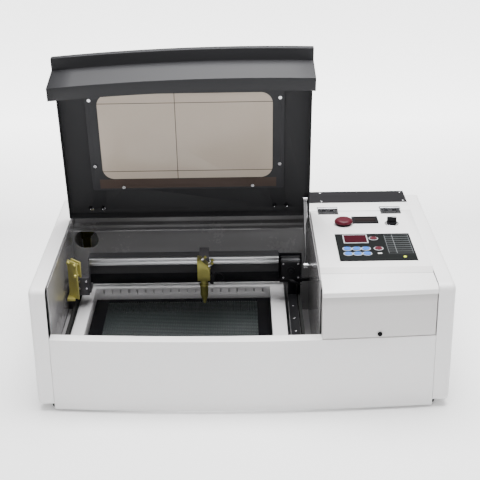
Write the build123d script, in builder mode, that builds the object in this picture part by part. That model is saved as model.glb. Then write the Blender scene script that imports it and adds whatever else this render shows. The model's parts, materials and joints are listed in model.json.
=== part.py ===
"""Desktop laser cutter with an open work-bay lid, as separate pieces in one frame.

Millimetres, +X to the right, +Y to the back, +Z up. The origin is on the surface that the feet
stand on, at the middle of the machine's width and of its overall depth. Depths called "in" are
measured back from the front edge of the side panels.
"""

import os
from math import asin, cos, degrees, sin, sqrt

from build123d import *

# ---------------------------------------------------------------- overall sizes
width = 800.0
panel_depth = 490.0
panel_top = 262.0
foot_height = 12.0
foot_from_side = 34.0
foot_from_ends = (26.0, 40.0)
foot_radii = (10.0, 12.5)
foot_recess_radius = 4.0
foot_recess_depth = 3.0
side_thickness = 32.0
side_wall = 2.5
panel_corner = 14.0
panel_edge = 8.0
hood_top = 270.0
bow_sagitta = 16.0
seam_gap = 1.0
arc_margin = 12.0

# ---------------------------------------------------------------- sheet thicknesses
sheet = 2.0
hood_sheet = 2.0

# ---------------------------------------------------------------- hoods: lid and electronics cover
hood_skirt = 20.0
visor_drop = 8.0
crease_front_in = 58.0
crease_rear_in = 70.0
nose_proud = 8.0
nose_top_in = 2.0
nose_low_z = 249.0
undercut_z = 246.0
lid_nose_proud = 12.0
lid_nose_low_z = 241.0
lid_undercut_z = 240.0
lid_flap_setback = 12.0
lid_flap_return = 27.0
flap_low_z = 159.5
flap_return = 24.0
front_low_z = 6.0
nose_overlap = 46.0
lid_right_x = 147.0
hinge_in = 364.0
hinge_rise = 4.5
lid_open_angle = 79.0

# ---------------------------------------------------------------- butt hinges
leaf_width = 43.0
leaf_depth = 20.0
leaf_thickness = 1.5
knuckle_radius = 4.0
hinge_pin_radius = 1.8
running_clearance = 0.05
knuckle_gap = 0.3
leaf_screw_pitch = 26.0
leaf_screw_in = 15.0
leaf_screw_radius = 2.0
lid_hinge_x = (-305.0, 85.0)
cover_hinge_x = (188.0, 322.0)

# ---------------------------------------------------------------- lid window
window_x = -109.5
window_width = 356.0
window_depth = 197.0
window_from_hinge = 187.5
window_corner = 25.0
pane_thickness = 3.0
pane_margin = 24.0
pane_depth = 230.0
pane_from_hinge = 177.0
window_screw_offset_x = 15.0
window_screw_rows = (121.0, 274.0)
window_screw_pitch = 272.0
window_screw_low_row = 69.0
small_screw_radius = 1.6
screw_clearance = 0.3

# ---------------------------------------------------------------- lid stay
stay_x = 138.0
stay_lug_from_hinge = 38.0
stay_lug_z = 256.0
stay_low_in = 300.0
stay_low_z = 171.0
stay_pin_radius = 2.5
stay_tube_radius = 4.5
stay_bore_radius = 3.6
stay_rod_radius = 2.0
stay_tube_length = 68.0
stay_eye_radius = 6.0
stay_eye_width = 8.0

# ---------------------------------------------------------------- interior
floor_z = 34.0
partition_in = 365.0
partition_top = 230.0
ledge_depth = 19.0
riser_height = 6.0
beam_line_x = -337.0
beam_line_z = 211.0
beam_hole_width = 52.0
beam_hole_height = 40.0
wall_x = 148.0
wall_front_in = 30.0
stud_radius = 7.0
stud_height = 1.5
rear_panel_inset = 10.0
deck_seam_in = 413.0

# ---------------------------------------------------------------- bed
bed_left_x = -348.0
bed_right_x = 92.0
bed_front_in = 60.0
bed_rear_in = 359.0
bed_top = 110.0
bed_rail = 30.0
bed_skirt = 28.0
mesh_border = 30.0
mesh_bar = 3.0
mesh_pitch = 8.0
comb_pitch = 18.3
comb_slot = 3.4
comb_depth = 10.0
comb_from_top = 4.0
mesh_rows = 5

# ---------------------------------------------------------------- guide rails and Y drive
left_rail_x = (-365.0, -352.0)
right_rail_x = (97.0, 115.0)
left_rail_top = 104.0
right_rail_top = 132.0
rail_front_in = 58.0
rail_rear_in = 328.0
shoe_clearance = 0.4
slide_gap = 0.5
pulley_radius = 6.4
pulley_flange_radius = 8.0
belt_clearance = 0.3
belt_thickness = 1.4
belt_width = 6.0
shaft_radius = 4.0
y_drive_in = 340.0
y_idler_in = 46.0
bearing_ear = 22.0
y_belt_z = 120.0
left_belt_x = -347.0
right_belt_x = 121.0

# ---------------------------------------------------------------- gantry at its stored place
beam_front_in = 245.0
beam_depth = 29.0
beam_low_z = 164.0
beam_top_z = 218.5
beam_left_x = -316.0
beam_right_x = 78.0
beam_wall = 3.0
guide_height = 14.5
guide_depth = 5.0
guide_groove = (2.0, 3.0)
motor_side = 42.0
motor_x = 103.0
motor_z = 192.0
motor_front_in = 228.0
motor_rear_in = 262.0
motor_plate = 3.0
motor_chamfer = 4.0
motor_boss_radius = 11.0
x_belt_in = 270.0
idler_x = -302.0

# ---------------------------------------------------------------- laser head
head_x = -77.0
head_in = 218.0
lens_tip_z = 126.0
head_block_width = 26.0
head_block_z = (182.0, 228.0)
carriage_x = (-88.0, -66.0)

# ---------------------------------------------------------------- tube bay
tube_in = 431.0
tube_radius = 25.0
tube_wall = 2.0
tube_x = (-305.0, 345.0)
duct_x = 20.0
duct_z = (44.0, 156.0)
duct_width = 160.0
vent_z = (60.0, 130.0)
vent_width = 140.0
collar_radius = 50.0
collar_length = 28.0
collar_neck_radius = 49.0
collar_bore_radius = 48.0
louvre_x = (-250.0, 250.0)
louvre_z = 190.0
louvre_size = (90.0, 4.0)
louvre_pitch = 9.0
louvre_count = 7
inlet_x = 300.0
inlet_z = 70.0
inlet_size = (47.0, 27.0)
inlet_flange = (58.0, 32.0, 3.0)
inlet_socket = (24.0, 16.0)
inlet_depth = 16.0
inlet_pins_x = (-7.0, 0.0, 7.0)
inlet_pin = (2.0, 13.0, 5.0)
hose_x = (-230.0, -190.0)
hose_z = 70.0
hose_radius = 5.0
hose_bore_radius = 2.0
hose_tail_length = 18.0
hose_inner_length = 12.0
hose_nut = (8.0, 4.0)
hose_barbs = (6.0, 12.0)
hose_barb_length = 3.0
saddle_x = (-200.0, 230.0)
saddle_width = 20.0
saddle_wall = 4.0
tube_core_radius = 6.0
tube_end_cap = 6.0

# ---------------------------------------------------------------- control panel
panel_x = (192.0, 343.0)
panel_in = (97.0, 231.0)
panel_thickness = 1.5
key_radius = 7.5
key_height = 1.2
key_depth = 5.0
key_collar = (1.2, 2.0)
key_edge = 0.5
display_x = (209.0, 254.0)
display_in = (183.0, 222.0)
display_rise = 1.0
key_clearance = 0.35
blue_key_x = (211.0, 229.5, 248.0)
blue_key_in = (130.0, 154.5)
red_keys = ((268.5, 206.0), (273.0, 154.5))
stop_x = 215.5
stop_in = 288.0
stop_radius = 19.0
stop_collar_radius = 11.0
stop_travel = 3.0
stop_gap = 2.0
stop_stem = 18.0
stop_head = 7.0
stop_dome = 6.0
meter_x = (237.0, 287.0)
meter_in = (291.0, 321.0)
selector_x = 316.0
selector_in = 288.0
selector_radius = 11.0
selector_stem = 16.0
selector_skirt = 4.0
selector_grip = (20.0, 7.0, 10.0)
meter_depth = 22.0
meter_bezel = 2.0
meter_rise = 3.0

# ---------------------------------------------------------------- derived places
half_width = width / 2
foot_rows_in = (foot_from_ends[0], panel_depth - foot_from_ends[1])
rear_panel_in = panel_depth - rear_panel_inset
inner_x = half_width - side_thickness
bow_radius = (inner_x**2 + bow_sagitta**2) / (2 * bow_sagitta)
cover_x = (lid_right_x + 4 * seam_gap, inner_x - 2 * seam_gap)
lid_x = (-inner_x + 2 * seam_gap, lid_right_x)


def bow_at(x):
    """Return how far the bowed front stands before the side panels at x."""
    return sqrt(bow_radius**2 - x**2) - (bow_radius - bow_sagitta)


front_overhang = nose_proud + bow_at(cover_x[0])
rear_overhang = rear_panel_in + sheet + collar_length - panel_depth
front_y = (front_overhang - rear_overhang - panel_depth) / 2
bow_centre_y = front_y - bow_sagitta + bow_radius
hinge_y = front_y + hinge_in
hinge_z = hood_top + hinge_rise
lid_hinge = Axis((0, hinge_y, hinge_z), (-1, 0, 0))
cover_nose = (nose_proud, nose_low_z, undercut_z, 0.0, flap_return)
lid_nose = (lid_nose_proud, lid_nose_low_z, lid_undercut_z, lid_flap_setback, lid_flap_return)
liner_x = inner_x - sheet

os.makedirs("parts", exist_ok=True)


# ---------------------------------------------------------------- shared operations
def block(x, y, z, mode=Mode.ADD):
    """Add or cut a box given by its x, y and z limits in the part being built."""
    with Locations(((x[0] + x[1]) / 2, (y[0] + y[1]) / 2, (z[0] + z[1]) / 2)):
        Box(x[1] - x[0], y[1] - y[0], z[1] - z[0], mode=mode)


def round_bar(start, direction, radius, length, mode=Mode.ADD):
    """Add or cut a round bar that runs from start along direction."""
    with BuildSketch(Plane(origin=start, z_dir=direction)) as section:
        Circle(radius)
    extrude(section.sketch, amount=length, mode=mode)


def prism_x(points, x, mode=Mode.ADD):
    """Extrude a (y, z) outline between two x places."""
    with BuildSketch(Plane.YZ.offset(x[0])) as section:
        with BuildLine():
            Polyline(*points, close=True)
        make_face()
    extrude(section.sketch, amount=x[1] - x[0], mode=mode)


def belt_loop(plane, centres, width):
    """Add a flat belt round two equal pulleys whose centres lie on plane's x axis."""
    inner = pulley_radius + belt_clearance
    middle = (centres[0] + centres[1]) / 2
    span = abs(centres[1] - centres[0])
    with BuildSketch(plane) as loop:
        with Locations((middle, 0)):
            SlotCenterToCenter(span, 2 * (inner + belt_thickness))
            SlotCenterToCenter(span, 2 * inner, mode=Mode.SUBTRACT)
    extrude(loop.sketch, amount=width / 2, both=True)


def toothed_pulley(centre, direction, length):
    """Add a pulley with two flanges, its length centred on centre."""
    axis = Vector(*direction)
    start = Vector(*centre) - axis * (length / 2)
    round_bar(start, direction, pulley_radius, length)
    flange = (length - belt_width) / 2 - belt_clearance
    for offset in (0, length - flange):
        round_bar(start + axis * offset, direction, pulley_flange_radius, flange)


def depth(distance):
    """Return the y place that lies distance in from the side panels' front edge."""
    return front_y + distance


def write(part, name):
    """Label a finished piece and write it as one STEP file."""
    part.label = name
    export_step(part, f"parts/{name}.step")


# ---------------------------------------------------------------- side panels
def side_panel_outline(inset):
    """Return a side panel's rounded outline, drawn in by inset."""
    low = foot_height + inset
    with BuildSketch(Plane.YZ) as outline:
        with Locations((depth(panel_depth / 2), (low + panel_top - inset) / 2)):
            RectangleRounded(panel_depth - 2 * inset, panel_top - inset - low, panel_corner - inset)
    return outline.sketch


def side_panel(side):
    """Build one hollow side panel, open towards the machine."""
    with BuildPart() as panel:
        extrude(side_panel_outline(0), amount=half_width)
        block((-1, inner_x), (depth(-1), depth(panel_depth + 1)), (0, hood_top), mode=Mode.SUBTRACT)
        outer_edges = panel.faces().sort_by(Axis.X)[-1].edges()
        fillet(outer_edges, radius=panel_edge)
        extrude(side_panel_outline(side_wall), amount=half_width - side_wall, mode=Mode.SUBTRACT)
    return panel.part if side > 0 else panel.part.mirror(Plane.YZ)


write(side_panel(1), "right_side_panel")
write(side_panel(-1), "left_side_panel")


# ---------------------------------------------------------------- base pan with its grey inner walls
pan_front_y = depth(4)
liner_front_y = depth(flap_return + 2)
pan_rear_y = depth(rear_panel_in)
with BuildPart() as base_pan:
    block((-inner_x, inner_x), (pan_front_y, pan_rear_y), (floor_z - sheet, floor_z))
    for side in (-1, 1):
        edge = sorted((side * inner_x, side * liner_x))
        block(edge, (liner_front_y, pan_rear_y), (foot_height + 2, panel_top - 6))
    block((-inner_x, inner_x), (pan_front_y, pan_front_y + sheet), (foot_height + 2, floor_z))
    block((-inner_x, inner_x), (pan_rear_y - sheet, pan_rear_y), (foot_height + 2, floor_z))
write(base_pan.part, "base_pan")

with BuildPart() as rubber_feet:
    foot_x = half_width - foot_from_side
    foot_places = [(x, depth(row)) for x in (-foot_x, foot_x) for row in foot_rows_in]
    for place in foot_places:
        for radius, z in zip(foot_radii, (0, foot_height)):
            with BuildSketch(Plane.XY.offset(z)):
                with Locations(place):
                    Circle(radius)
        loft()
    for place in foot_places:
        recess = (*place, foot_recess_depth)
        round_bar(recess, (0, 0, -1), foot_recess_radius, 2 * foot_recess_depth, mode=Mode.SUBTRACT)
write(rubber_feet.part, "rubber_feet")


# ---------------------------------------------------------------- bowed front
def bowed(points, mode=Mode.ADD):
    """Sweep a (depth behind the bow, height) outline round the front's long arc."""
    half_angle = asin((inner_x + arc_margin) / bow_radius)
    radial = Vector(sin(-half_angle), -cos(half_angle), 0)
    start = Plane(origin=(0, bow_centre_y, 0), x_dir=radial, z_dir=radial.cross(Vector(0, 0, 1)))
    with BuildSketch(start) as outline:
        with BuildLine():
            Polyline(*[(bow_radius - d, z) for d, z in points], close=True)
        make_face()
    axis = Axis((0, bow_centre_y, 0), (0, 0, 1))
    revolve(outline.sketch, axis=axis, revolution_arc=degrees(2 * half_angle), mode=mode)


front_top_z = flap_low_z - 2
with BuildPart() as front_panel:
    bowed([
        (0, front_low_z), (0, front_top_z), (flap_return, front_top_z),
        (flap_return, front_top_z - sheet), (sheet, front_top_z - sheet),
        (sheet, front_low_z + sheet), (3 * sheet, front_low_z + sheet), (3 * sheet, front_low_z),
    ])
    block((-inner_x + 0.5, inner_x - 0.5), (depth(-40), depth(60)), (0, hood_top), mode=Mode.INTERSECT)
write(front_panel.part, "front_panel")


# ---------------------------------------------------------------- hoods
def hood_solid(x, nose, inset):
    """Build a hood filled solid, drawn in by inset for its hollow.

    The nose is how proud it stands, its lowest edge, the undercut's height, how far the flap is
    set back and how deep its return is.
    """
    x = (x[0] + inset, x[1] - inset)
    proud, lip_z, under_z, setback, turned_in = nose
    flap = setback + inset
    top = hood_top - inset
    visor = hood_top - visor_drop - inset
    low = hood_top - hood_skirt - inset
    rear = hinge_y - seam_gap - inset
    join = depth(flap_return)
    reach = setback + turned_in + inset
    with BuildPart() as solid:
        bowed([
            (nose_overlap, visor), (nose_top_in + inset / 2, visor),
            (-proud * 0.8 + inset, (visor + nose_low_z) / 2 + 2), (-proud + inset, lip_z + inset),
            (flap, under_z + inset), (flap, flap_low_z + inset), (reach, flap_low_z + inset),
            (reach, low), (nose_overlap, low),
        ])
        block(x, (depth(-60), hinge_y), (0, hood_top + 1), mode=Mode.INTERSECT)
        prism_x([
            (rear, low), (rear, top), (depth(crease_rear_in), top), (depth(crease_front_in), visor),
            (join, visor), (join, low),
        ], x)
    return solid.part


window_y = hinge_y - window_from_hinge
pane_width = window_width + 2 * pane_margin
window_screws = [
    (window_x + side * (window_width / 2 + window_screw_offset_x), hinge_y - row)
    for side in (-1, 1) for row in window_screw_rows
] + [(window_x + side * window_screw_pitch / 2, hinge_y - window_screw_low_row) for side in (-1, 1)]
leaf_screw_columns = (-leaf_screw_pitch / 2, leaf_screw_pitch / 2)


def drill_down(places, radius, z):
    """Cut round holes along Z at (x, y) places between two heights."""
    for hole_x, hole_y in places:
        round_bar((hole_x, hole_y, z[0]), (0, 0, 1), radius, z[1] - z[0], mode=Mode.SUBTRACT)


def leaf_screws(centres, side):
    """Return the screw places of hinge leaves on one side of the hinge line."""
    return [(x + dx, hinge_y + side * leaf_screw_in) for x in centres for dx in leaf_screw_columns]


with BuildPart() as lid_shell:
    add(hood_solid(lid_x, lid_nose, 0))
    add(hood_solid(lid_x, lid_nose, hood_sheet), mode=Mode.SUBTRACT)
    with BuildSketch(Plane.XY.offset(hood_top - 2 * hood_sheet)):
        with Locations((window_x, window_y)):
            RectangleRounded(window_width, window_depth, window_corner)
    extrude(amount=4 * hood_sheet, mode=Mode.SUBTRACT)
    hood_span = (hood_top - 2 * hood_sheet, hood_top + 1)
    drill_down(window_screws, small_screw_radius + screw_clearance, hood_span)
    drill_down(leaf_screws(lid_hinge_x, -1), leaf_screw_radius + screw_clearance, hood_span)
    lug_start = (lid_right_x - hood_sheet, hinge_y - stay_lug_from_hinge, stay_lug_z)
    round_bar(lug_start, (-1, 0, 0), stay_pin_radius, lug_start[0] - stay_x + stay_eye_width / 2)
write(lid_shell.part.rotate(lid_hinge, lid_open_angle), "lid_shell")

pane_top = hood_top - hood_sheet
with BuildPart() as lid_window:
    with BuildSketch(Plane.XY.offset(pane_top - pane_thickness)):
        with Locations((window_x, hinge_y - pane_from_hinge)):
            RectangleRounded(pane_width, pane_depth, 4)
    extrude(amount=pane_thickness)
    drill_down(window_screws, small_screw_radius + screw_clearance, (pane_top - 4, pane_top + 1))
write(lid_window.part.rotate(lid_hinge, lid_open_angle), "lid_window")

with BuildPart() as lid_screws:
    for screw_x, screw_y in window_screws:
        round_bar((screw_x, screw_y, hood_top), (0, 0, -1), small_screw_radius, 8)
        round_bar((screw_x, screw_y, pane_top - pane_thickness), (0, 0, -1), 3.5, 2.2)
    for screw_x, screw_y in leaf_screws(lid_hinge_x, -1):
        top = hood_top + leaf_thickness
        round_bar((screw_x, screw_y, top + 1), (0, 0, -1), leaf_screw_radius, 11)
        round_bar((screw_x, screw_y, top), (0, 0, 1), 3.6, 1)
        with BuildSketch(Plane.XY.offset(hood_top - hood_sheet)):
            with Locations((screw_x, screw_y)):
                RegularPolygon(4, 6)
        extrude(amount=-3.2)
write(lid_screws.part.rotate(lid_hinge, lid_open_angle), "lid_screws")

with BuildPart() as electronics_cover:
    add(hood_solid(cover_x, cover_nose, 0))
    add(hood_solid(cover_x, cover_nose, hood_sheet), mode=Mode.SUBTRACT)
    drill_down(leaf_screws(cover_hinge_x, -1), leaf_screw_radius + screw_clearance, hood_span)
    for key_x in blue_key_x:
        for key_in in blue_key_in:
            drill_down([(key_x, depth(key_in))], key_radius + key_clearance, hood_span)
    drill_down([(x, depth(y)) for x, y in red_keys], key_radius + key_clearance, hood_span)
    drill_down([(stop_x, depth(stop_in))], stop_collar_radius + key_clearance, hood_span)
    drill_down([(selector_x, depth(selector_in))], selector_radius / 2 + running_clearance, hood_span)
    block(meter_x, (depth(meter_in[0]), depth(meter_in[1])), hood_span, mode=Mode.SUBTRACT)
write(electronics_cover.part, "electronics_cover")


# ---------------------------------------------------------------- butt hinges
knuckle_length = leaf_width / 5


def hinge_leaf(centre_x, side, own_knuckles):
    """Add one leaf of a butt hinge and its knuckles, with the pin's bore."""
    far_y = hinge_y + side * leaf_depth
    near_y = hinge_y + side * (knuckle_radius + 0.6)
    plate_z = (hood_top, hood_top + leaf_thickness)
    left = centre_x - leaf_width / 2
    block((left, left + leaf_width), sorted((far_y, near_y)), plate_z)
    for number in own_knuckles:
        start = left + number * knuckle_length + knuckle_gap / 2
        span = (start, start + knuckle_length - knuckle_gap)
        block(span, sorted((near_y, hinge_y + side)), (hood_top + 0.6, hood_top + leaf_thickness))
        round_bar((span[0], hinge_y, hinge_z), (1, 0, 0), knuckle_radius, span[1] - span[0])
    bore = hinge_pin_radius + running_clearance
    round_bar((left - 1, hinge_y, hinge_z), (1, 0, 0), bore, leaf_width + 2, mode=Mode.SUBTRACT)
    screws = [(centre_x + dx, hinge_y + side * leaf_screw_in) for dx in leaf_screw_columns]
    drill_down(screws, leaf_screw_radius + screw_clearance, (hood_top - 1, hood_top + 3))


def moving_leaves(centres):
    """Build the moving leaves of the hinges at the given x places."""
    with BuildPart() as leaves:
        for centre_x in centres:
            hinge_leaf(centre_x, -1, (1, 3))
    return leaves.part


write(moving_leaves(lid_hinge_x).rotate(lid_hinge, lid_open_angle), "lid_hinge_leaves")
write(moving_leaves(cover_hinge_x), "cover_hinge_leaves")

with BuildPart() as fixed_hinge_leaves:
    for centre_x in lid_hinge_x + cover_hinge_x:
        hinge_leaf(centre_x, 1, (0, 2, 4))
    for centre_x in lid_hinge_x + cover_hinge_x:
        start = (centre_x - leaf_width / 2, hinge_y, hinge_z)
        round_bar(start, (1, 0, 0), hinge_pin_radius, leaf_width)
write(fixed_hinge_leaves.part, "fixed_hinge_leaves")

# ---------------------------------------------------------------- rear deck, partition, tube cover
deck_front_y = hinge_y + seam_gap
with BuildPart() as rear_deck:
    block((-liner_x, liner_x), (deck_front_y, depth(deck_seam_in)), (hood_top - sheet, hood_top))
    block((-liner_x, liner_x), (deck_front_y, deck_front_y + sheet), (hood_top - 8, hood_top))
write(rear_deck.part, "rear_deck")

partition_y = depth(partition_in)
ledge_y = partition_y + ledge_depth
upper_y = ledge_y + ledge_depth
riser_top = partition_top + riser_height
deck_under = hood_top - sheet
with BuildPart() as bay_partition:
    prism_x([
        (partition_y, floor_z), (partition_y, partition_top), (ledge_y, partition_top),
        (ledge_y, riser_top), (upper_y, riser_top), (upper_y, deck_under),
        (upper_y + sheet, deck_under), (upper_y + sheet, riser_top - sheet),
        (ledge_y + sheet, riser_top - sheet), (ledge_y + sheet, partition_top - sheet),
        (partition_y + sheet, partition_top - sheet), (partition_y + sheet, floor_z),
    ], (-liner_x, liner_x))
    with BuildSketch(Plane.XZ.offset(-partition_y + 1)):
        with Locations((beam_line_x, beam_line_z)):
            SlotOverall(beam_hole_width, beam_hole_height)
        with Locations((duct_x, (vent_z[0] + vent_z[1]) / 2)):
            Rectangle(vent_width, vent_z[1] - vent_z[0])
    extrude(amount=-(sheet + 2), mode=Mode.SUBTRACT)
write(bay_partition.part, "bay_partition")

cover_rear_y = depth(rear_panel_in + sheet)
with BuildPart() as tube_cover:
    block((-liner_x, liner_x), (depth(deck_seam_in + seam_gap), cover_rear_y), (deck_under, hood_top))
    block((-liner_x, liner_x), (cover_rear_y, cover_rear_y + sheet), (hood_top - 14, hood_top))
write(tube_cover.part, "tube_cover")

duct_mid_z = (duct_z[0] + duct_z[1]) / 2
with BuildPart() as rear_panel:
    block((-liner_x, liner_x), (depth(rear_panel_in), cover_rear_y), (foot_height + 2, deck_under))
    with BuildSketch(Plane.XZ.offset(-depth(rear_panel_in) + 1)):
        with Locations((duct_x, duct_mid_z)):
            Circle(collar_neck_radius)
        with Locations((inlet_x, inlet_z)):
            Rectangle(*inlet_size)
        with Locations([(x, hose_z) for x in hose_x]):
            Circle(hose_radius)
        for x in louvre_x:
            with Locations((x, louvre_z)):
                with GridLocations(0, louvre_pitch, 1, louvre_count):
                    SlotOverall(*louvre_size)
    extrude(amount=-(sheet + 2), mode=Mode.SUBTRACT)
write(rear_panel.part, "rear_panel")

with BuildPart() as electronics_wall:
    block((wall_x, wall_x + sheet), (depth(wall_front_in), partition_y), (floor_z, panel_top))
    motor_hole = (wall_x - 1, depth(y_drive_in), y_belt_z)
    round_bar(motor_hole, (1, 0, 0), shaft_radius + 3, sheet + 2, mode=Mode.SUBTRACT)
    stud = (wall_x, depth(stay_low_in), stay_low_z)
    round_bar(stud, (-1, 0, 0), stud_radius, stud_height)
write(electronics_wall.part, "electronics_wall")

# ---------------------------------------------------------------- work bed
bed_x = (bed_left_x, bed_right_x)
bed_y = (depth(bed_front_in), depth(bed_rear_in))
hole_x = (bed_left_x + bed_rail, bed_right_x - bed_rail)
hole_y = (bed_y[0] + bed_rail, bed_y[1] - bed_rail)
skirt_low = bed_top - bed_skirt
with BuildPart() as bed_frame:
    block(bed_x, bed_y, (skirt_low, bed_top))
    block((bed_x[0] + sheet, bed_x[1] - sheet), (bed_y[0] + sheet, bed_y[1] - sheet),
          (skirt_low - 1, bed_top - sheet), mode=Mode.SUBTRACT)
    block((hole_x[0] - sheet, hole_x[1] + sheet), (hole_y[0] - sheet, hole_y[1] + sheet),
          (skirt_low, bed_top))
    block(hole_x, hole_y, (skirt_low - 1, bed_top + 1), mode=Mode.SUBTRACT)
    slots = int((hole_x[1] - hole_x[0]) / comb_pitch)
    with Locations(((hole_x[0] + hole_x[1]) / 2, hole_y[1], bed_top - comb_depth / 2 - comb_from_top)):
        with GridLocations(comb_pitch, 0, slots, 1):
            Box(comb_slot, 3 * sheet, comb_depth, mode=Mode.SUBTRACT)
    for leg_x in bed_x:
        for leg_y in bed_y:
            side_x = sheet if leg_x == bed_x[0] else -sheet
            side_y = bed_rail if leg_y == bed_y[0] else -bed_rail
            block(sorted((leg_x, leg_x + side_x)), sorted((leg_y, leg_y + side_y)), (floor_z, skirt_low))
write(bed_frame.part, "bed_frame")

mesh_z = (skirt_low - sheet, skirt_low)
mesh_x = (hole_x[0] - sheet, hole_x[1] + sheet)
mesh_y = (hole_y[0] - sheet, hole_y[1] + sheet)
mesh_hole_width = mesh_x[1] - mesh_x[0] - 2 * mesh_border
mesh_hole_depth = mesh_y[1] - mesh_y[0] - mesh_border
with BuildPart() as bed_mesh:
    block(mesh_x, mesh_y, mesh_z)
    columns = int(mesh_hole_width / mesh_pitch)
    with BuildSketch(Plane.XY.offset(mesh_z[0] - 1)):
        with Locations(((mesh_x[0] + mesh_x[1]) / 2, (mesh_y[0] + mesh_y[1]) / 2)):
            row_pitch = mesh_hole_depth / mesh_rows
            with GridLocations(mesh_pitch, row_pitch, columns, mesh_rows):
                Rectangle(mesh_pitch - mesh_bar, row_pitch - mesh_bar)
    extrude(amount=sheet + 2, mode=Mode.SUBTRACT)
write(bed_mesh.part, "bed_mesh")

# ---------------------------------------------------------------- Y guide rails and Y drive
rail_y = (depth(rail_front_in), depth(rail_rear_in))
y_drive_y = depth(y_drive_in)
y_idler_y = depth(y_idler_in)
left_ear_x = (left_rail_x[0], left_rail_x[0] + sheet)
right_ear_x = (right_rail_x[0], right_rail_x[0] + sheet)
bearing_bore = shaft_radius + running_clearance
with BuildPart() as y_rails:
    for x, top in ((left_rail_x, left_rail_top), (right_rail_x, right_rail_top)):
        block(x, rail_y, (floor_z, top))
        block((x[0] + sheet, x[1] - sheet), (rail_y[0] - 1, rail_y[1] + 1), (floor_z - 1, top - sheet),
              mode=Mode.SUBTRACT)
    for ear_x in (left_ear_x, right_ear_x):
        for y in ((rail_y[0] - bearing_ear, rail_y[0]), (rail_y[1], rail_y[1] + bearing_ear)):
            block(ear_x, y, (floor_z, y_belt_z + 2 * shaft_radius))
        for centre_y in (y_idler_y, y_drive_y):
            bearing = (ear_x[0] - 1, centre_y, y_belt_z)
            round_bar(bearing, (1, 0, 0), bearing_bore, sheet + 2, mode=Mode.SUBTRACT)
write(y_rails.part, "y_rails")

with BuildPart() as y_belts:
    for belt_x in (left_belt_x, right_belt_x):
        belt_plane = Plane(origin=(belt_x, 0, y_belt_z), x_dir=(0, 1, 0), z_dir=(1, 0, 0))
        belt_loop(belt_plane, (y_idler_y, y_drive_y), belt_width)
write(y_belts.part, "y_belts")

pulley_length = belt_width + 3
y_motor_x = wall_x + sheet
motor_bore_depth = 12.0
with BuildPart() as y_drive_shaft:
    shaft_length = y_motor_x + motor_bore_depth - 1 - left_ear_x[0]
    round_bar((left_ear_x[0], y_drive_y, y_belt_z), (1, 0, 0), shaft_radius, shaft_length)
    for belt_x in (left_belt_x, right_belt_x):
        toothed_pulley((belt_x, y_drive_y, y_belt_z), (1, 0, 0), pulley_length)
write(y_drive_shaft.part, "y_drive_shaft")

with BuildPart() as y_idler_pulleys:
    for belt_x, ear_x in ((left_belt_x, left_ear_x), (right_belt_x, right_ear_x)):
        axle_length = belt_x + pulley_length / 2 + 1 - ear_x[0]
        round_bar((ear_x[0], y_idler_y, y_belt_z), (1, 0, 0), shaft_radius, axle_length)
        toothed_pulley((belt_x, y_idler_y, y_belt_z), (1, 0, 0), pulley_length)
write(y_idler_pulleys.part, "y_idler_pulleys")

with BuildPart() as y_motor:
    half_motor = motor_side / 2
    motor_y = (y_drive_y - half_motor, y_drive_y + half_motor)
    motor_zs = (y_belt_z - half_motor, y_belt_z + half_motor)
    y_motor_end = y_motor_x + motor_rear_in - motor_front_in
    block((y_motor_x, y_motor_end), motor_y, motor_zs)
    chamfer(y_motor.edges().filter_by(Axis.X), length=motor_chamfer)
    shaft_mouth = (y_motor_x - 1, y_drive_y, y_belt_z)
    bore_radius = shaft_radius + running_clearance
    round_bar(shaft_mouth, (1, 0, 0), bore_radius, motor_bore_depth + 1, mode=Mode.SUBTRACT)
write(y_motor.part, "y_motor")

# ---------------------------------------------------------------- gantry
beam_y = (depth(beam_front_in), depth(beam_front_in + beam_depth))
x_belt_y = depth(x_belt_in)
idler_pin_radius = 2.5
with BuildPart() as x_beam:
    beam_x = (beam_left_x, beam_right_x)
    block(beam_x, beam_y, (beam_low_z, beam_top_z))
    block((beam_x[0] - 1, beam_x[1] + 1), (beam_y[0] + beam_wall, beam_y[1] + 1),
          (beam_low_z + beam_wall, beam_top_z - beam_wall), mode=Mode.SUBTRACT)
    pin_start = (idler_x, beam_y[0] + beam_wall, motor_z)
    round_bar(pin_start, (0, 1, 0), idler_pin_radius, beam_depth - beam_wall + 2)
write(x_beam.part, "x_beam")

with BuildPart() as x_guide_rail:
    guide_z = (beam_top_z - guide_height, beam_top_z)
    block(beam_x, (beam_y[0] - guide_depth, beam_y[0]), guide_z)
    with Locations(((beam_x[0] + beam_x[1]) / 2, beam_y[0] - guide_depth, beam_top_z - guide_height / 2)):
        Box(beam_x[1] - beam_x[0], *guide_groove, mode=Mode.SUBTRACT)
write(x_guide_rail.part, "x_guide_rail")

bracket_y = (depth(beam_front_in - 5), depth(beam_front_in + beam_depth - 2))
arm_z = (142.0, 150.0)
bracket_web = (27.0, 2.0)
bracket_reach = 12.0
bracket_top_z = 182.0
belt_top_z = y_belt_z + pulley_radius + belt_clearance + belt_thickness
clamp_y = (depth(beam_front_in + 2), depth(beam_front_in + 22))


def belt_clamp(belt_x, top_z):
    """Add the block that stands over a Y belt's upper run."""
    half = belt_width / 2
    block((belt_x - half, belt_x + half), clamp_y, (belt_top_z + belt_clearance, top_z))


with BuildPart() as left_end_bracket:
    block((beam_left_x - beam_wall, beam_left_x), beam_y, (arm_z[0], beam_top_z))
    block((left_rail_x[0], beam_left_x), bracket_y, arm_z)
    block(left_rail_x, bracket_y, (left_rail_top + shoe_clearance, arm_z[0]))
    web_x = (beam_left_x - bracket_web[0], beam_left_x - bracket_web[1])
    web_front_y = bracket_y[0] - bracket_reach
    block(web_x, (web_front_y, beam_y[0]), (arm_z[1], bracket_top_z))
    block(web_x, (web_front_y, bracket_y[0]), arm_z)
    belt_clamp(left_belt_x, arm_z[0])
write(left_end_bracket.part, "left_end_bracket")

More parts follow.
